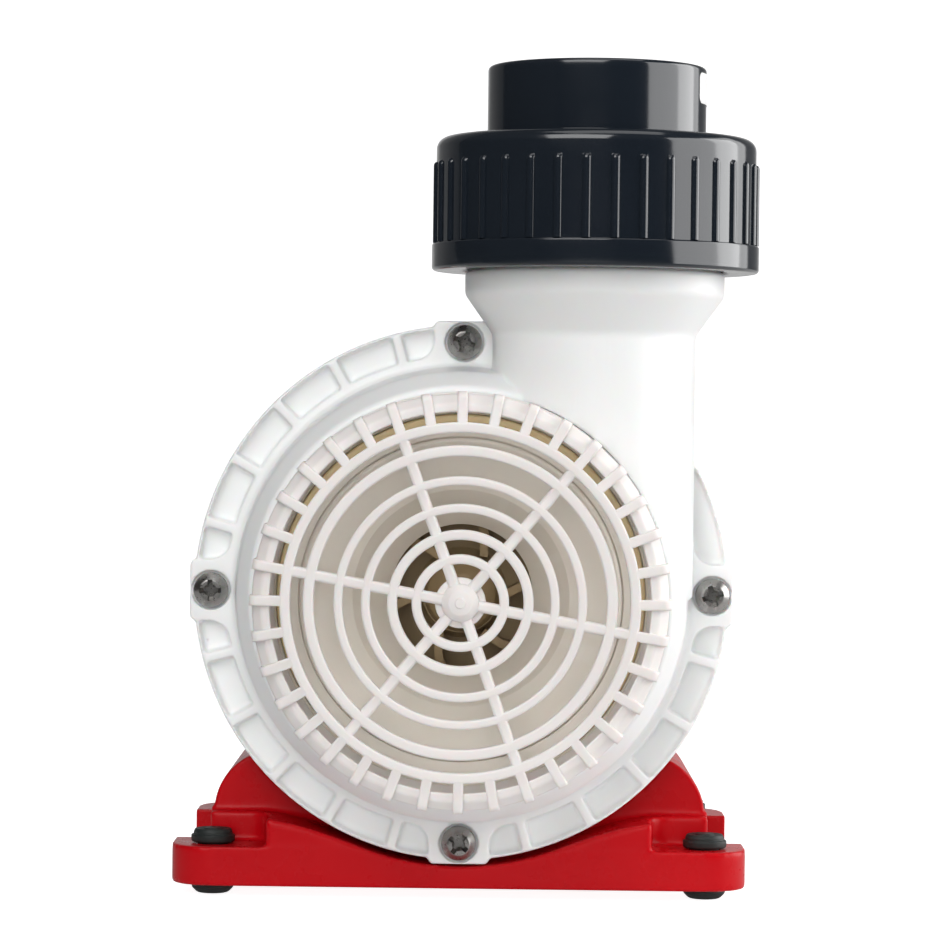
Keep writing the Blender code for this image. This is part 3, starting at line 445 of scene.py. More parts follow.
def add_turned(bm, profile, steps=96):
    """Revolves a closed outline of (radius, z) round z. Points on the axis are merged."""
    rings = []
    for radius, z in profile:
        if abs(radius) < 1e-6:
            rings.append([bm.verts.new((0, 0, z))] * steps)
            continue
        ring = []
        for i in range(steps):
            turn = 2 * math.pi * i / steps
            ring.append(bm.verts.new((radius * math.cos(turn), radius * math.sin(turn), z)))
        rings.append(ring)
    for first, second in zip(rings, rings[1:] + rings[:1]):
        for i in range(steps):
            corners = []
            for vert in (first[i], first[(i + 1) % steps], second[(i + 1) % steps], second[i]):
                if vert not in corners:
                    corners.append(vert)
            if len(corners) > 2:
                bm.faces.new(corners)
    return [vert for ring in rings for vert in set(ring)]


def add_prism(bm, outline, z_low, z_high, edge=0.0, segments=2):
    """A prism from a flat outline, with its top and bottom edges rounded."""
    low = [bm.verts.new((x, y, z_low)) for x, y in outline]
    high = [bm.verts.new((x, y, z_high)) for x, y in outline]
    caps = [bm.faces.new(low[::-1]), bm.faces.new(high)]
    count = len(outline)
    for i in range(count):
        bm.faces.new((low[i], low[(i + 1) % count], high[(i + 1) % count], high[i]))
    verts = low + high
    if edge:
        rim = [e for face in caps for e in face.edges]
        made = bmesh.ops.bevel(bm, geom=rim, offset=edge, segments=segments, affect="EDGES", profile=0.5)
        verts = [vert for vert in verts if vert.is_valid] + list(made["verts"])
    return list(set(verts))


def add_rounded(bm, points, corner_steps, steps=96):
    """Revolves a closed outline of (radius, z, corner radius)."""
    return add_turned(bm, rounded_profile(points, corner_steps), steps)


def add_cylinder(bm, radius, low, high, steps):
    return add_turned(bm, [(0, high), (radius, high), (radius, low), (0, low)], steps)


def add_box(bm, low, high):
    size = [b - a for a, b in zip(low, high)]
    middle = [(a + b) / 2 for a, b in zip(low, high)]
    bmesh.ops.create_cube(bm, size=1.0, matrix=Matrix.Translation(middle) @ Matrix.Diagonal((*size, 1)))


def rotated(bm, verts, angle, axis):
    bmesh.ops.rotate(bm, verts=verts, cent=(0, 0, 0), matrix=Matrix.Rotation(angle, 3, axis))


def moved(bm, verts, x, y, z):
    bmesh.ops.translate(bm, verts=verts, vec=(x, y, z))


def turned_clockwise(bm, verts, degrees):
    """Turns clockwise as seen from +z: 0 is up and 90 is to the right."""
    rotated(bm, verts, -math.radians(degrees), "Z")


def set_round(bm, verts, pitch_radius, degrees):
    """Moves to a place on a circle round z, clockwise from the top."""
    moved(bm, verts, 0, pitch_radius, 0)
    turned_clockwise(bm, verts, degrees)


def box_mm(node):
    """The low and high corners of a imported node's box, in millimetres."""
    return [Vector(corner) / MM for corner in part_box(node)]


def helper(name, bm, place=None):
    """A working object for a Boolean, from a bmesh in millimetres of the place's frame."""
    mesh = bpy.data.meshes.new(name)
    bmesh.ops.recalc_face_normals(bm, faces=bm.faces)
    bm.to_mesh(mesh)
    bm.free()
    mesh.transform((place or PUMP) @ Matrix.Scale(MM, 4))
    obj = bpy.data.objects.new(name, mesh)
    bpy.context.scene.collection.objects.link(obj)
    return obj


def combined(base, steps, voxel=None, smooth=0, keep=1.0):
    """The mesh of base after Booleans with helpers and, for soft moulded edges, a remesh and a smoothing."""
    for operation, other in steps:
        change = base.modifiers.new(operation, "BOOLEAN")
        change.operation = operation
        change.solver = "MANIFOLD"
        change.object = other
    if voxel is not None:
        remesh = base.modifiers.new("remesh", "REMESH")
        remesh.mode = "VOXEL"
        remesh.voxel_size = voxel * MM
    if smooth:
        soften = base.modifiers.new("soften", "SMOOTH")
        soften.factor = 0.5
        soften.iterations = smooth
    if keep < 1.0:
        thin = base.modifiers.new("thin", "DECIMATE")
        thin.ratio = keep
    graph = bpy.context.evaluated_depsgraph_get()
    mesh = bpy.data.meshes.new_from_object(base.evaluated_get(graph))
    for obj in [base] + [other for _, other in steps]:
        bpy.data.objects.remove(obj)
    return mesh


def arc_points(cx, cy, radius, start_deg, end_deg, count):
    """Points on an arc, angles counter-clockwise from +x."""
    turns = [math.radians(start_deg + (end_deg - start_deg) * i / count) for i in range(count + 1)]
    return [(cx + radius * math.cos(t), cy + radius * math.sin(t)) for t in turns]


# --- Intake -----------------------------------------------------------------------------------------------

DOME_FRONT = 24.0
SEAT_R = 43.3
STRAINER_R, STRAINER_WALL_R, STRAINER_FRONT = 43.9, 41.9, 45.0
STRAINER_RIBS, SLAT_HALF = 36, 1.08
SPOKES, FIRST_SPOKE_DEG = 6, 40.0
RINGS = ((8.1, 10.1), (13.1, 15.2), (18.7, 20.6), (24.4, 26.3), (30.4, 32.7), (35.3, 37.5))
SKIRT_FOOT, SKIRT_TOP = DOME_FRONT + 0.3, 29.6
SLOT_R, SHOULDER_R, SHOULDER_LOW = 39.6, 43.45, 38.5
SEAL_FLOOR = 20.8


def strainer_rings():
    """All that is round: the front's rings, the hub, the skirt and the shoulder behind the corner ribs."""
    front, back = STRAINER_FRONT, STRAINER_FRONT - 2.4
    hub_step, hub_back = front - 1.3, front - 2.6
    rings = bmesh.new()
    for r_in, r_out in RINGS:
        add_rounded(
            rings, [(r_out, front, 0.55), (r_out, back, 0.3), (r_in, back, 0.3), (r_in, front, 0.55)], 4, 144)
    add_rounded(
        rings,
        [(0, front + 2.05, 0), (0.95, front + 2.05, 0.15), (1.15, front + 1.75, 0.1),
         (2.5, front + 1.55, 0.8), (3.9, front + 0.1, 0.9), (3.9, hub_step, 0.2),
         (5.3, hub_step - 0.3, 0.4), (5.3, hub_back, 0.3), (0, hub_back, 0)], 4, 64)
    add_rounded(
        rings,
        [(STRAINER_R, SKIRT_TOP, 0.3), (STRAINER_R, SKIRT_FOOT, 0.1), (SEAT_R, SKIRT_FOOT, 0.0),
         (SEAT_R, 25.3, 0.0), (39.75, 25.3, 0.2), (39.75, 26.3, 0.4), (STRAINER_WALL_R, 29.2, 0.4),
         (42.4, SKIRT_TOP, 0.3)], 4, 144)
    add_rounded(
        rings,
        [(SLOT_R, 43.7, 0.4), (41.4, 43.5, 1.6), (SHOULDER_R, 41.4, 1.6), (SHOULDER_R, SHOULDER_LOW, 0.4),
         (STRAINER_WALL_R, SHOULDER_LOW, 0.4), (STRAINER_WALL_R, 41.2, 0.8), (SLOT_R, 42.4, 0.4)], 6, 144)
    return rings


def slat_outline():
    """A corner rib seen from its side: a bar on the front that turns down the basket's wall."""
    inner, front, back, low = 36.6, STRAINER_FRONT - 0.15, STRAINER_FRONT - 2.3, 24.9
    return rounded_profile(
        [(inner, front, 0.0), (STRAINER_R, front, 1.6), (STRAINER_R, low, 0.0), (STRAINER_WALL_R, low, 0.0),
         (STRAINER_WALL_R, back, 0.6), (inner, back, 0.0)], 6)


def strainer_bars():
    """The spokes, each a bar with a rounded front, and the corner ribs."""
    bars = bmesh.new()
    spoke = rounded_profile([(-1.2, -1.2, 0.3), (1.2, -1.2, 0.3), (1.15, 1.4, 0.85), (-1.15, 1.4, 0.85)], 5)
    for index in range(SPOKES):
        made = add_prism(bars, spoke, 2.6, 36.45)
        rotated(bars, made, -math.pi / 2, "X")
        rotated(bars, made, math.pi, "Y")
        moved(bars, made, 0, 0, STRAINER_FRONT - 1.45)
        turned_clockwise(bars, made, FIRST_SPOKE_DEG + index * 360 / SPOKES)
    for index in range(STRAINER_RIBS):
        made = add_prism(bars, slat_outline(), -SLAT_HALF, SLAT_HALF, 0.5, 3)
        rotated(bars, made, math.pi / 2, "X")
        turned_clockwise(bars, made, 90 + index * 360 / STRAINER_RIBS)
    return bars


def build_strainer():
    bars = helper("strainer_bars", strainer_bars())
    mesh = combined(helper("strainer_rings", strainer_rings()), [("UNION", bars)])
    show_piece("strainer_basket", mesh, WORLD, "strainer_white", "strainer",
               ["intake_strainer"])


def build_intake():
    """The dished plate round the impeller's eye, and an amber seal in the groove near its rim; its amber also
    paints the warm light bounced deep in the slot.
    """
    back, seat, rim, lip = 8.5, 17.5, 28.4, 24.9
    plate = bmesh.new()
    add_rounded(
        plate,
        [(43.0, lip, 0.4), (43.0, 19.6, 0.0), (45.4, 19.6, 0.2), (45.4, seat, 0.2), (42.4, seat, 0.0),
         (42.4, back, 0.3), (15.4, back, 0.3), (15.4, 9.6, 0.4), (23.1, 22.3, 0.5), (33.5, 29.45, 1.2),
         (34.05, 29.0, 0.3), (34.1, 27.6, 0.0), (34.35, 27.6, 0.0), (34.4, rim, 0.25), (37.2, rim, 0.5),
         (37.2, 20.5, 0.0), (39.3, 20.5, 0.0), (39.3, lip, 0.4)], 6, 160)
    finish_mesh("intake_dish", plate, PUMP, "plate_beige", "pump", ["intake_plate"])
    # The seal's amber colour also paints the warm light that bounces in the deep groove.
    seal = bmesh.new()
    profile = [(39.2, 25.0, 0.6), (39.2, SEAL_FLOOR, 0.3), (37.3, SEAL_FLOOR, 0.3), (37.3, 25.0, 0.6)]
    add_rounded(seal, profile, 4, 144)
    finish_mesh("amber_seal_painted_bounce", seal, PUMP, "seal_amber", "pump", ["intake_seal"])


# --- Volute housing ---------------------------------------------------------------------------------------

FLANGE_R, FLANGE_DEPTH, DOME_R, SCREW_PITCH_R = 58.7, 9.0, 49.6, 55.0
POCKET_R, POCKET_FLOOR, POCKET_DEG, DOUBLE_POCKET = (51.8, 58.1), -3.5, 15, 4
FLANGE_RIB_HALF, POCKET_DRAFT = 0.95, 0.45
NECK_R, NECK_TOP, THROAT_R = 22.0, 56.6, 14.5
COLLAR_R, COLLAR_LOW, OUTLET_BORE_R = 28.1, 65.1, 17.5


def lug_outline():
    """A screw lug on the flange's rim, at the top: its sides sweep into the dome in concave fillets."""
    half, top, root, fillet, corner = 6.7, 59.6, 50.4, 4.6, 1.2
    left = arc_points(-half - fillet, root + 4.9, fillet, -90, 0, 8)
    right = arc_points(half + fillet, root + 4.9, fillet, 180, 270, 8)
    corner_left = arc_points(-half + corner, top - corner, corner, 180, 90, 4)
    corner_right = arc_points(half - corner, top - corner, corner, 90, 0, 4)
    return [(0, 48.0)] + left + corner_left + corner_right + right


def pocket_cutters():
    """Pockets between the flange's ribs, with drafted sides; one is double, as a rib is left out there."""
    bm = bmesh.new()
    for index in range(360 // POCKET_DEG):
        if index == DOUBLE_POCKET + 1:
            continue
        start = math.radians(index * POCKET_DEG)
        end = math.radians((index + (2 if index == DOUBLE_POCKET else 1)) * POCKET_DEG)
        loops = []
        for z, draft in ((5.0, 0.0), (-0.2, 0.0), (POCKET_FLOOR, POCKET_DRAFT)):
            ring = []
            for radius, sense in ((POCKET_R[0] + draft, 1), (POCKET_R[1] - draft, -1)):
                inset = (FLANGE_RIB_HALF + draft) / radius
                first, last = (start + inset, end - inset)[::sense]
                for i in range(9):
                    turn = first + (last - first) * i / 8
                    ring.append(bm.verts.new((radius * math.sin(turn), radius * math.cos(turn), z)))
            loops.append(ring)
        bm.faces.new(loops[0])
        bm.faces.new(loops[-1][::-1])
        for upper, lower in zip(loops, loops[1:]):
            for i in range(len(upper)):
                j = (i + 1) % len(upper)
                bm.faces.new((upper[i], upper[j], lower[j], lower[i]))
    return helper("pockets", bm)


def neck_helper():
    """The outlet's neck, cone and collar, cut back behind the flange and around the strainer."""
    top = 83.8
    neck = bmesh.new()
    add_rounded(
        neck,
        [(0, top, 0), (26.9, top, 0.3), (26.9, 70.4, 0.2), (COLLAR_R, 70.0, 0.8), (COLLAR_R, COLLAR_LOW, 2.5),
         (NECK_R, NECK_TOP, 3.0), (NECK_R, -0.1, 0), (0, -0.1, 0)], 6, 192)
    back = bmesh.new()
    add_box(back, (-5, -20, -88.75), (85, 57, -8.75))
    relief = bmesh.new()
    add_cylinder(relief, 44.0, DOME_FRONT, 60, 192)
    mesh = combined(helper("neck", neck, OUTLET), [
        ("DIFFERENCE", helper("neck_back", back)), ("DIFFERENCE", helper("neck_relief", relief))])
    obj = bpy.data.objects.new("neck_body", mesh)
    bpy.context.scene.collection.objects.link(obj)
    return obj


def build_volute():
    """The white housing: a dome on a pocketed flange with four lugs, and the outlet's neck."""
    body = bmesh.new()
    add_rounded(
        body,
        [(0, DOME_FRONT, 0), (45.0, DOME_FRONT, 1.8), (48.4, 17.5, 6.0), (DOME_R, 0.9, 0), (50.4, 0.0, 0.2),
         (58.1, 0.0, 0), (FLANGE_R, -0.6, 0.3), (FLANGE_R, -FLANGE_DEPTH, 0.3), (0, -FLANGE_DEPTH, 0)],
        8, 240)
    steps = [("DIFFERENCE", pocket_cutters())]
    for index in range(4):
        lug = bmesh.new()
        made = add_prism(lug, lug_outline()[::-1], -FLANGE_DEPTH + 0.2, -0.1)
        turned_clockwise(lug, made, 90 * index)
        steps.append(("UNION", helper(f"lug_{index + 1}", lug)))
    steps.append(("UNION", neck_helper()))

    chamber, mouth, bore, screws = bmesh.new(), bmesh.new(), bmesh.new(), bmesh.new()
    add_rounded(chamber, [(0, 20, 0), (46, 20, 3), (46, -15, 0), (0, -15, 0)], 5, 144)
    add_cylinder(mouth, SEAT_R, 10, 60, 144)
    add_turned(
        bore,
        [(0, 95), (OUTLET_BORE_R, 95), (OUTLET_BORE_R, COLLAR_LOW), (THROAT_R, NECK_TOP), (THROAT_R, 12),
         (0, 12)], 96)
    for index in range(4):
        made = add_turned(screws, [(0, 3), (4.3, 3), (4.3, -1.4), (2.4, -1.4), (2.4, -20), (0, -20)], 48)
        set_round(screws, made, SCREW_PITCH_R, 90 * index)
    steps += [("DIFFERENCE", helper("chamber", chamber)), ("DIFFERENCE", helper("mouth", mouth)),
              ("DIFFERENCE", helper("bore", bore, OUTLET)), ("DIFFERENCE", helper("screw_seats", screws))]
    mesh = combined(helper("volute", body), steps, voxel=0.42, smooth=3, keep=0.16)
    show_piece("volute_shell", mesh, WORLD, "housing_white", "pump",
               ["volute_housing"], 180.0)


# --- Union ------------------------------------------------------------------------------------------------

NUT_R, NUT_BORE_R, NUT_THREAD_R, NUT_LOW, NUT_TOP = 34.6, 24.15, 28.7, 70.2, 99.0
NUT_BAND_R = 35.4
NUT_RIBS, RIB_LOW, RIB_TOP, RIB_HALF, RIB_HIGH = 36, 76.1, 93.6, 0.95, 0.72
RIB_OFFSETS = (0.28, 0.55, 0.78, 0.9, 0.95, 1.1, 1.6)
SOCKET_R, SOCKET_BORE_R, SOCKET_TOP = 23.65, 20.1, 114.5
LABEL_R, LABEL_THICK, LABEL_LOW, LABEL_HIGH = SOCKET_R + 0.03, 0.07, 106.4, 113.0
LABEL_DEG, LABEL_CORNER, LABEL_COLUMNS = (-24.0, 14.0), 1.4, 40


def rib_height(z, offset):
    """How far the nearest rib, a half-round bead with a round end, stands out at an offset along the rim."""
    beyond = max(z - (RIB_TOP - RIB_HALF), 0.0)
    share = math.hypot(offset, beyond) / RIB_HALF
    if share >= 1.0 or z < RIB_LOW:
        return 0.0
    return RIB_HIGH * math.sqrt(1.0 - share * share)


def build_union_nut():
    """The nut's outline turned round its axis, with the ribs raised where it is NUT_R wide."""
    offsets = [-2.7] + [-offset for offset in reversed(RIB_OFFSETS)] + [0.0] + list(RIB_OFFSETS)
    low = rounded_profile(
        [(NUT_THREAD_R, 72.0, 0), (NUT_THREAD_R, NUT_LOW, 0.7), (NUT_BAND_R, NUT_LOW, 0.8),
         (NUT_BAND_R, 75.9, 0.35), (NUT_R, RIB_LOW, 0)], 5)
    # More rings near each end of the ribs keep their shading short.
    body = [(NUT_R, z) for z in (76.15, 76.3, 76.6, 80, 84, 88, 91.4, 92.2, 92.65, 92.9, 93.2, 93.4, 93.52,
                                 93.6, 93.66, 93.75)]
    top = rounded_profile(
        [(NUT_R, 93.9, 0), (NUT_R, NUT_TOP, 4.4), (NUT_BORE_R, NUT_TOP, 0.6), (NUT_BORE_R, 94.6, 0.0)],
        10)[1:]
    inner = [(NUT_BORE_R, 94.55), (NUT_THREAD_R, 94.5), (NUT_THREAD_R, 94.3)]
    bm = bmesh.new()
    rings = []
    for radius, z in low + body + top + inner:
        ring = []
        for rib in range(NUT_RIBS):
            for offset in offsets:
                turn = 2 * math.pi * (rib + 0.5) / NUT_RIBS + offset / NUT_R
                out = radius + (rib_height(z, offset) if radius == NUT_R else 0.0)
                ring.append(bm.verts.new((out * math.cos(turn), out * math.sin(turn), z)))
        rings.append(ring)
    for first, second in zip(rings, rings[1:] + rings[:1]):
        for i in range(len(first)):
            j = (i + 1) % len(first)
            bm.faces.new((first[i], first[j], second[j], second[i]))
    finish_mesh("ribbed_union_nut", bm, OUTLET, "union_grey", "union_nut", ["union_nut"])


def build_union_end():
    """The socket that a pipe is glued into. The extra points on its side keep the shading straight."""
    end = bmesh.new()
    add_rounded(
        end,
        [(SOCKET_BORE_R, 92.0, 0.2), (SOCKET_BORE_R, SOCKET_TOP, 1.2), (SOCKET_R, SOCKET_TOP, 1.6),
         (SOCKET_R, 112.6, 0), (SOCKET_R, 104.0, 0), (SOCKET_R, 95.2, 0), (SOCKET_R, 94.5, 0.3),
         (27.8, 94.5, 0.3), (27.8, 86.6, 0.4), (17.6, 86.6, 0.4), (17.6, 92.0, 0.0)], 6, 192)
    finish_mesh("pipe_socket", end, OUTLET, "union_grey", "pump", ["union_end"])


def build_label():
    """A blank label with round corners, wrapped on the socket."""
    label = bmesh.new()
    first, last = LABEL_DEG
    length = math.radians(last - first) * LABEL_R
    columns = []
    for i in range(LABEL_COLUMNS + 1):
        along = length * (1 - math.cos(math.pi * i / LABEL_COLUMNS)) / 2
        short = max(LABEL_CORNER - min(along, length - along), 0.0)
        inset = LABEL_CORNER - math.sqrt(max(LABEL_CORNER * LABEL_CORNER - short * short, 0.0))
        turn = math.radians(first) + along / LABEL_R
        low, high = LABEL_LOW + inset, LABEL_HIGH - inset
        columns.append([
            label.verts.new(((LABEL_R + layer) * math.cos(turn), (LABEL_R + layer) * math.sin(turn), z))
            for layer, z in ((0.0, low), (0.0, high), (LABEL_THICK, high), (LABEL_THICK, low))])
    for one, two in zip(columns, columns[1:]):
        for i in range(4):
            j = (i + 1) % 4
            label.faces.new((one[i], one[j], two[j], two[i]))
    label.faces.new(columns[0][::-1])
    label.faces.new(columns[-1])
    finish_mesh("blank_label", label, OUTLET, "label_paper", "pump", [])


# --- Screws and feet --------------------------------------------------------------------------------------

COVER_PITCH_R = 47.0
SCREW_SEAT, COVER_SCREW_SEAT = -1.0, -89.6
FEET = ("foot_front_left", "foot_front_right", "foot_rear_left", "foot_rear_right")
CRADLE_SCREWS = ("cradle_screw_1", "cradle_screw_2")
SCREW_HEAD_DEEP = 2.8


def cross_recess(radius, top, floor):
    """Four tapered arms, to cut the recess of a cross-head screw."""
    cross = bmesh.new()
    reach, half = radius * 0.66, radius * 0.15
    foot_reach, foot_half = reach * 0.62, half * 0.8
    for index in range(4):
        corners = [(-half, 0.0, top), (half, 0.0, top), (half, reach, top), (-half, reach, top),
                   (-foot_half, 0.0, floor), (foot_half, 0.0, floor), (foot_half, foot_reach, floor),
                   (-foot_half, foot_reach, floor)]
        verts = [cross.verts.new(corner) for corner in corners]
        for face in ((3, 2, 1, 0), (4, 5, 6, 7), (0, 1, 5, 4), (1, 2, 6, 5), (2, 3, 7, 6), (3, 0, 4, 7)):
            cross.faces.new([verts[i] for i in face])
        turned_clockwise(cross, verts, 90 * index + 20)
    return cross


def crossed_screw(name, radius, height, place, replaced, shank=2.0, length=6.0):
    """A pan-head screw with a cross recess, its head's seat at z = 0."""
    head, middle = bmesh.new(), bmesh.new()
    top, floor = height + 0.4, -0.2
    add_rounded(
        head,
        [(0, height, 0), (radius * 0.62, height, 0.8), (radius, height * 0.42, 1.0), (radius, 0, 0.15),
         (shank, 0, 0.1), (shank, -length, 0.2), (0, -length, 0)], 6, 72)
    add_turned(middle, [(0, top), (radius * 0.4, top), (radius * 0.24, floor - 0.1), (0, floor - 0.1)], 24)
    mesh = combined(helper("head", head, place), [
        ("DIFFERENCE", helper("cross", cross_recess(radius, top, floor), place)),
        ("DIFFERENCE", helper("cross_middle", middle, place))])
    show_piece(name, mesh, WORLD, "stainless", "pump", replaced, 30.0)


def build_screws():
    for index in range(4):
        turn = Matrix.Rotation(-math.pi / 2 * index, 4, "Z")
        out = Matrix.Translation((0, SCREW_PITCH_R * MM, SCREW_SEAT * MM))
        place = PUMP @ turn @ out @ turn.inverted()
        place = place @ Matrix.Rotation(math.radians(37 * index), 4, "Z")
        crossed_screw(f"flange_screw_{index + 1}", 3.8, 3.0, place, [f"housing_screw_{index + 1}"])
        around = Matrix.Rotation(math.radians(-45 - 90 * index), 4, "Z")
        out = Matrix.Translation((0, COVER_PITCH_R * MM, COVER_SCREW_SEAT * MM))
        place = PUMP @ around @ out @ Matrix.Rotation(math.pi, 4, "X")
        crossed_screw(f"back_screw_{index + 1}", 2.95, 1.95, place, [f"cover_screw_{index + 1}"], 1.4)


def build_cradle_screws():
    """The screws that hold the base to the motor, their heads down in the base's underside."""
    for name in CRADLE_SCREWS:
        low, high = box_mm(name)
        seat = Matrix.Translation((0, (low.y + high.y) / 2 * MM, (low.z + SCREW_HEAD_DEEP) * MM))
        seat = seat @ Matrix.Rotation(math.pi, 4, "X")
        length = high.z - low.z - SCREW_HEAD_DEEP - 0.1
        crossed_screw(name.replace("cradle", "saddle"), 4.55, 2.75, seat, [name], 2.45, length)


def build_feet():
    """Rubber grommets: a button above each tab and a foot below it."""
    for name in FEET:
        low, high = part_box(name)
        middle = Matrix.Translation(((low[0] + high[0]) / 2, (low[1] + high[1]) / 2, 0.0))
        foot = bmesh.new()
        add_rounded(
            foot,
            [(0, 14.35, 0), (1.9, 14.35, 0.2), (2.3, 13.9, 0.3), (3.9, 14.3, 0.4), (4.3, 13.5, 0.3),
             (4.3, 13.0, 0.2), (4.83, 12.9, 0.4), (4.83, 11.25, 0.5), (3.25, 11.25, 0.1), (3.25, 2.1, 0.1),
             (4.7, 2.1, 0.3), (4.6, 1.2, 0.8), (3.4, 0.02, 1.4), (0, 0.02, 0)], 5, 72)
        shown = name.replace("foot", "grommet")
        finish_mesh(shown, foot, middle, "foot_rubber", "pump", [name])


# --- Base -------------------------------------------------------------------------------------------------

TAB_TOP, TAB_CORNER_R, WALL_HALF = 11.0, 9.0, 55.5
WALL_DIP, WALL_SHOULDER, WALL_RISE_X = 6.3, 17.4, 46.0
EAR_X, EAR_HEIGHT, EAR_R, SADDLE_SETBACK = 41.0, 17.0, 14.0, 17.5
RECESS_X, RECESS_DEPTH, RECESS_CORNER_R, SIDE_SETBACK = 42.4, 14.6, 4.0, 19.5


def wall_height(x):
    """The end wall's top: low under the flange, and level again beyond a smooth rise on either side."""
    share = min(abs(x) / WALL_RISE_X, 1.0)
    return WALL_DIP + (WALL_SHOULDER - WALL_DIP) * share * share * (3 - 2 * share)


def base_recesses(front, rear):
    """Cuts that leave a flat tab round each foot, and the saddle's sides between the tabs."""
    cuts = bmesh.new()
    beyond, high = 90.0, 60.0
    for side in (-1, 1):
        for y_out, y_in in ((front - 20, front + RECESS_DEPTH), (rear + 20, rear - RECESS_DEPTH)):
            outline = rounded_profile(
                [(RECESS_X * side, y_out, 0), (beyond * side, y_out, 0), (beyond * side, y_in, 0),
                 (RECESS_X * side, y_in, RECESS_CORNER_R)], 8)
            add_prism(cuts, outline, TAB_TOP, high)
        x_low, x_high = sorted((WALL_HALF * side, beyond * side))
        add_box(cuts, (x_low, front + SIDE_SETBACK, 0.0), (x_high, rear - SIDE_SETBACK, high))
    return cuts


def base_holes():
    """Holes for the feet, and stepped ones for the cradle screws."""
    holes = bmesh.new()
    for name in FEET:
        low, high = box_mm(name)
        made = add_cylinder(holes, 3.5, -5, 25, 48)
        moved(holes, made, (low.x + high.x) / 2, (low.y + high.y) / 2, 0)
    for name in CRADLE_SCREWS:
        low, high = box_mm(name)
        made = add_turned(holes, [(0, 40), (2.8, 40), (2.8, 6.5), (5.2, 6.5), (5.2, -5), (0, -5)], 48)
        moved(holes, made, 0, (low.y + high.y) / 2, 0)
    return holes


def build_base():
    """The red base: a plate with a foot in each corner tab, S-curved end walls and an eared saddle."""
    low, high = box_mm("base_cradle")
    front, rear, half = low.y, high.y, high.x
    standing = Matrix.Translation((0, front * MM, 0)) @ Matrix.Rotation(math.pi / 2, 4, "X")
    plate, wall, saddle = bmesh.new(), bmesh.new(), bmesh.new()
    corners = [(-half, front), (half, front), (half, rear), (-half, rear)]
    add_prism(plate, rounded_profile([(x, y, TAB_CORNER_R) for x, y in corners], 20), low.z, TAB_TOP)
    across = [WALL_HALF - 2 * WALL_HALF * i / 120 for i in range(121)]
    top = [(x, wall_height(x)) for x in across]
    add_prism(wall, [(-WALL_HALF, 5.0), (WALL_HALF, 5.0)] + top, front - rear + 0.1, -0.1)
    right = [(WALL_HALF, 5.0), (WALL_HALF, 18.0)] + arc_points(EAR_X, EAR_HEIGHT, EAR_R, 4, 90, 30)
    outline = right + [(-x, y) for x, y in reversed(right)]
    add_prism(saddle, outline, front - rear + SADDLE_SETBACK, -SADDLE_SETBACK)
    seat, flange_room = bmesh.new(), bmesh.new()
    add_cylinder(seat, 50.4, -130, -10, 240)
    add_cylinder(flange_room, 60.1, -20.5, 10, 240)
    mesh = combined(
        helper("plate", plate, WORLD),
        [("UNION", helper("wall", wall, standing)), ("UNION", helper("saddle", saddle, standing)),
         ("DIFFERENCE", helper("recesses", base_recesses(front, rear), WORLD)),
         ("DIFFERENCE", helper("seat", seat)), ("DIFFERENCE", helper("flange_room", flange_room)),
         ("DIFFERENCE", helper("holes", base_holes(), WORLD))],
        voxel=0.5, smooth=9, keep=0.2)
    show_piece("moulded_base", mesh, WORLD, "cradle_red", "pump", ["base_cradle"], 180.0)


# --- Motor ------------------------------------------------------------------------------------------------

MOTOR_R, MOTOR_BORE_R, MOTOR_FLANGE_R = 49.95, 43.8, 53.95
MOTOR_FRONT, MOTOR_FLANGE_REAR, MOTOR_REAR, COVER_REAR = -9.35, -18.95, -83.95, -89.25
CAN_SEAT, SEAL_GROOVE = -11.3, -11.6
GLAND_REAR = -107.15


def build_motor_shell():
    """The red shell: a smooth tube with a front flange, four screw lugs and a seal groove."""
    shell, lugs, holes, cradle_holes = bmesh.new(), bmesh.new(), bmesh.new(), bmesh.new()
    add_rounded(
        shell,
        [(MOTOR_FLANGE_R, MOTOR_FRONT, 0.3), (MOTOR_FLANGE_R, MOTOR_FLANGE_REAR, 1.0),
         (MOTOR_R, MOTOR_FLANGE_REAR, 1.2), (MOTOR_R, MOTOR_REAR, 0.4), (MOTOR_BORE_R, MOTOR_REAR, 0.2),
         (MOTOR_BORE_R, -16, 0), (18.9, -16, 0), (18.9, CAN_SEAT, 0), (45.5, CAN_SEAT, 0),
         (45.5, MOTOR_FRONT, 0), (46.8, MOTOR_FRONT, 0), (46.8, SEAL_GROOVE, 0), (49.6, SEAL_GROOVE, 0),
         (49.6, MOTOR_FRONT, 0.1)], 6, 240)
    for index in range(4):
        made = add_rounded(
            lugs,
            [(4.4, MOTOR_FRONT, 0.2), (4.4, MOTOR_FLANGE_REAR, 0.8), (0, MOTOR_FLANGE_REAR, 0),
             (0, MOTOR_FRONT, 0)], 5, 48)
        set_round(lugs, made, SCREW_PITCH_R, 90 * index)
        made = add_cylinder(holes, 2.3, -18.2, -5, 32)
        set_round(holes, made, SCREW_PITCH_R, 90 * index)
        made = add_cylinder(holes, 1.75, -95, -75, 32)
        set_round(holes, made, COVER_PITCH_R, 45 + 90 * index)
    for name in CRADLE_SCREWS:
        low, high = box_mm(name)
        made = add_cylinder(cradle_holes, 2.8, 12, 25, 32)
        moved(cradle_holes, made, 0, (low.y + high.y) / 2, 0)
    mesh = combined(helper("shell", shell), [
        ("UNION", helper("shell_lugs", lugs)), ("DIFFERENCE", helper("shell_holes", holes)),
        ("DIFFERENCE", helper("shell_cradle_holes", cradle_holes, WORLD))])
    show_piece("motor_shell", mesh, WORLD, "cradle_red", "pump", ["motor_housing"], 35.0)


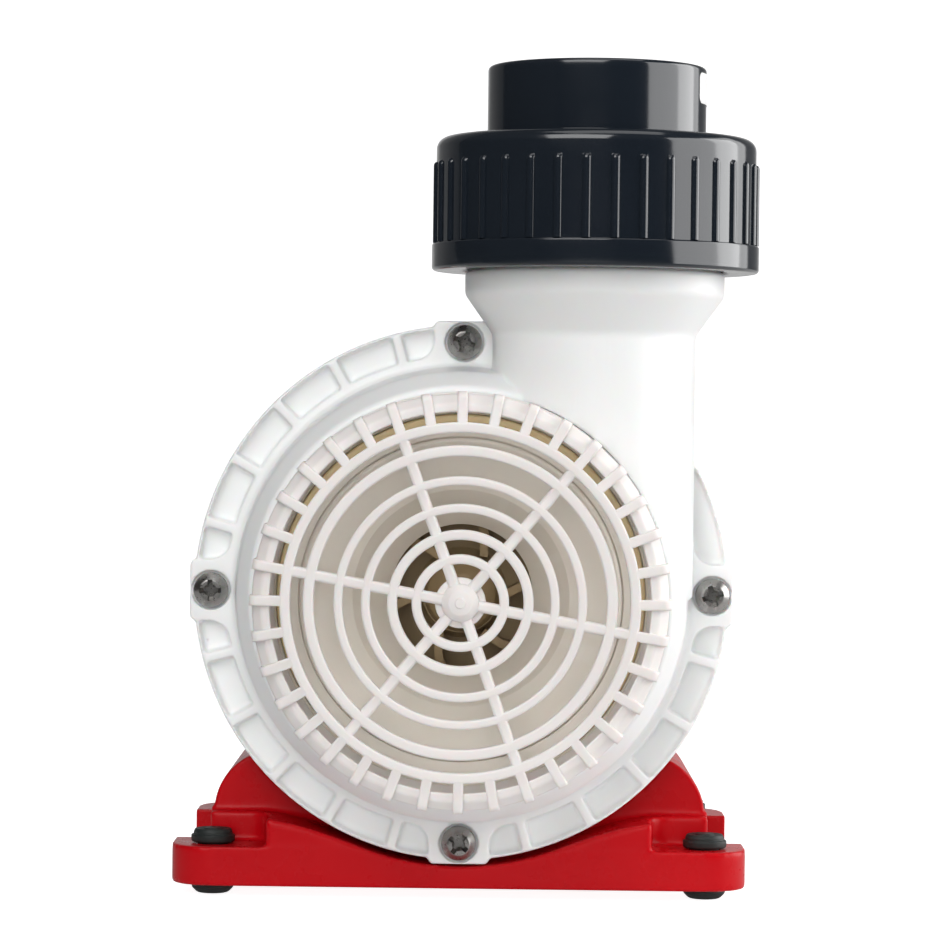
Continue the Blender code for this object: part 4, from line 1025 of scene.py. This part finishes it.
def build_back_plate():
    """The rear cover: a shallow cap with a spigot, a seal groove and a sunken middle."""
    cover, holes = bmesh.new(), bmesh.new()
    add_rounded(
        cover,
        [(0, -80.5, 0), (43.2, -80.5, 0.3), (43.2, -81.7, 0), (41.2, -81.7, 0), (41.2, -83.9, 0),
         (43.2, -83.9, 0), (43.2, -84.3, 0), (MOTOR_R, -84.3, 0.3), (MOTOR_R, COVER_REAR, 1.8),
         (38.5, COVER_REAR, 0.8), (37.5, COVER_REAR + 0.6, 0.8), (0, COVER_REAR + 0.6, 0)], 6, 240)
    for index in range(4):
        made = add_cylinder(holes, 1.75, -95, -75, 32)
        set_round(holes, made, COVER_PITCH_R, 45 + 90 * index)
    mesh = combined(helper("cover", cover), [("DIFFERENCE", helper("cover_holes", holes))])
    show_piece("back_plate", mesh, WORLD, "cradle_red", "pump", ["rear_cover"], 35.0)


def build_gland():
    """The cable gland: a stem through the cover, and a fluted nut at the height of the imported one."""
    low, high = box_mm("gland_nut")
    place = Matrix.Translation((0, 0, (low.z + high.z) / 2 * MM - AXIS.z)) @ PUMP
    body, nut, flutes = bmesh.new(), bmesh.new(), bmesh.new()
    add_rounded(
        body,
        [(5.0, -81, 0.2), (5.0, -88.8, 0), (8.95, -88.8, 0.2), (8.95, -94.5, 0.6), (7.0, -94.8, 0.1),
         (7.0, -101.0, 0.3), (3.4, -101.0, 0.2), (3.4, -81, 0.2)], 4, 96)
    finish_mesh("gland_stem", body, place, "magnet_black", "pump", ["gland_body"])
    add_rounded(
        nut,
        [(9.15, -95.0, 0.4), (9.15, -103.0, 1.2), (7.0, GLAND_REAR, 1.0), (3.45, GLAND_REAR, 0.4),
         (3.45, -101.4, 0.2), (7.4, -101.4, 0), (7.4, -95.0, 0.2)], 5, 96)
    flute = [(0, -96.2, 0), (0.55, -96.2, 0.3), (0.55, -102.6, 0.3), (0, -102.6, 0)]
    for index in range(16):
        made = add_rounded(flutes, flute, 3, 16)
        set_round(flutes, made, 9.35, 22.5 * index)
    mesh = combined(helper("nut", nut, place), [("DIFFERENCE", helper("nut_flutes", flutes, place))])
    show_piece("gland_cap", mesh, WORLD, "magnet_black", "pump", ["gland_nut"], 35.0)


def build_impeller_nut():
    """The domed nut in the middle of the impeller, seen through the strainer."""
    low = box_mm("impeller_nut")[0]
    front = AXIS.y / MM - low.y
    nut = bmesh.new()
    add_rounded(
        nut,
        [(0, front, 0), (4.5, front - 0.3, 1.5), (7.4, front - 3.1, 1.5), (8.2, front - 5.6, 0),
         (0, front - 5.6, 0)], 8, 96)
    finish_mesh("impeller_cap", nut, PUMP, "impeller_brown", "rotor", ["impeller_nut"])


build_strainer()
build_intake()
build_volute()
build_union_nut()
build_union_end()
build_label()
build_screws()
build_feet()
build_base()
build_motor_shell()
build_back_plate()
build_gland()
build_impeller_nut()
build_cradle_screws()

boxes = {"cad": cad_bounds, "visual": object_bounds()}
boxes = {name: [[float(value) for value in corner] for corner in box] for name, box in boxes.items()}
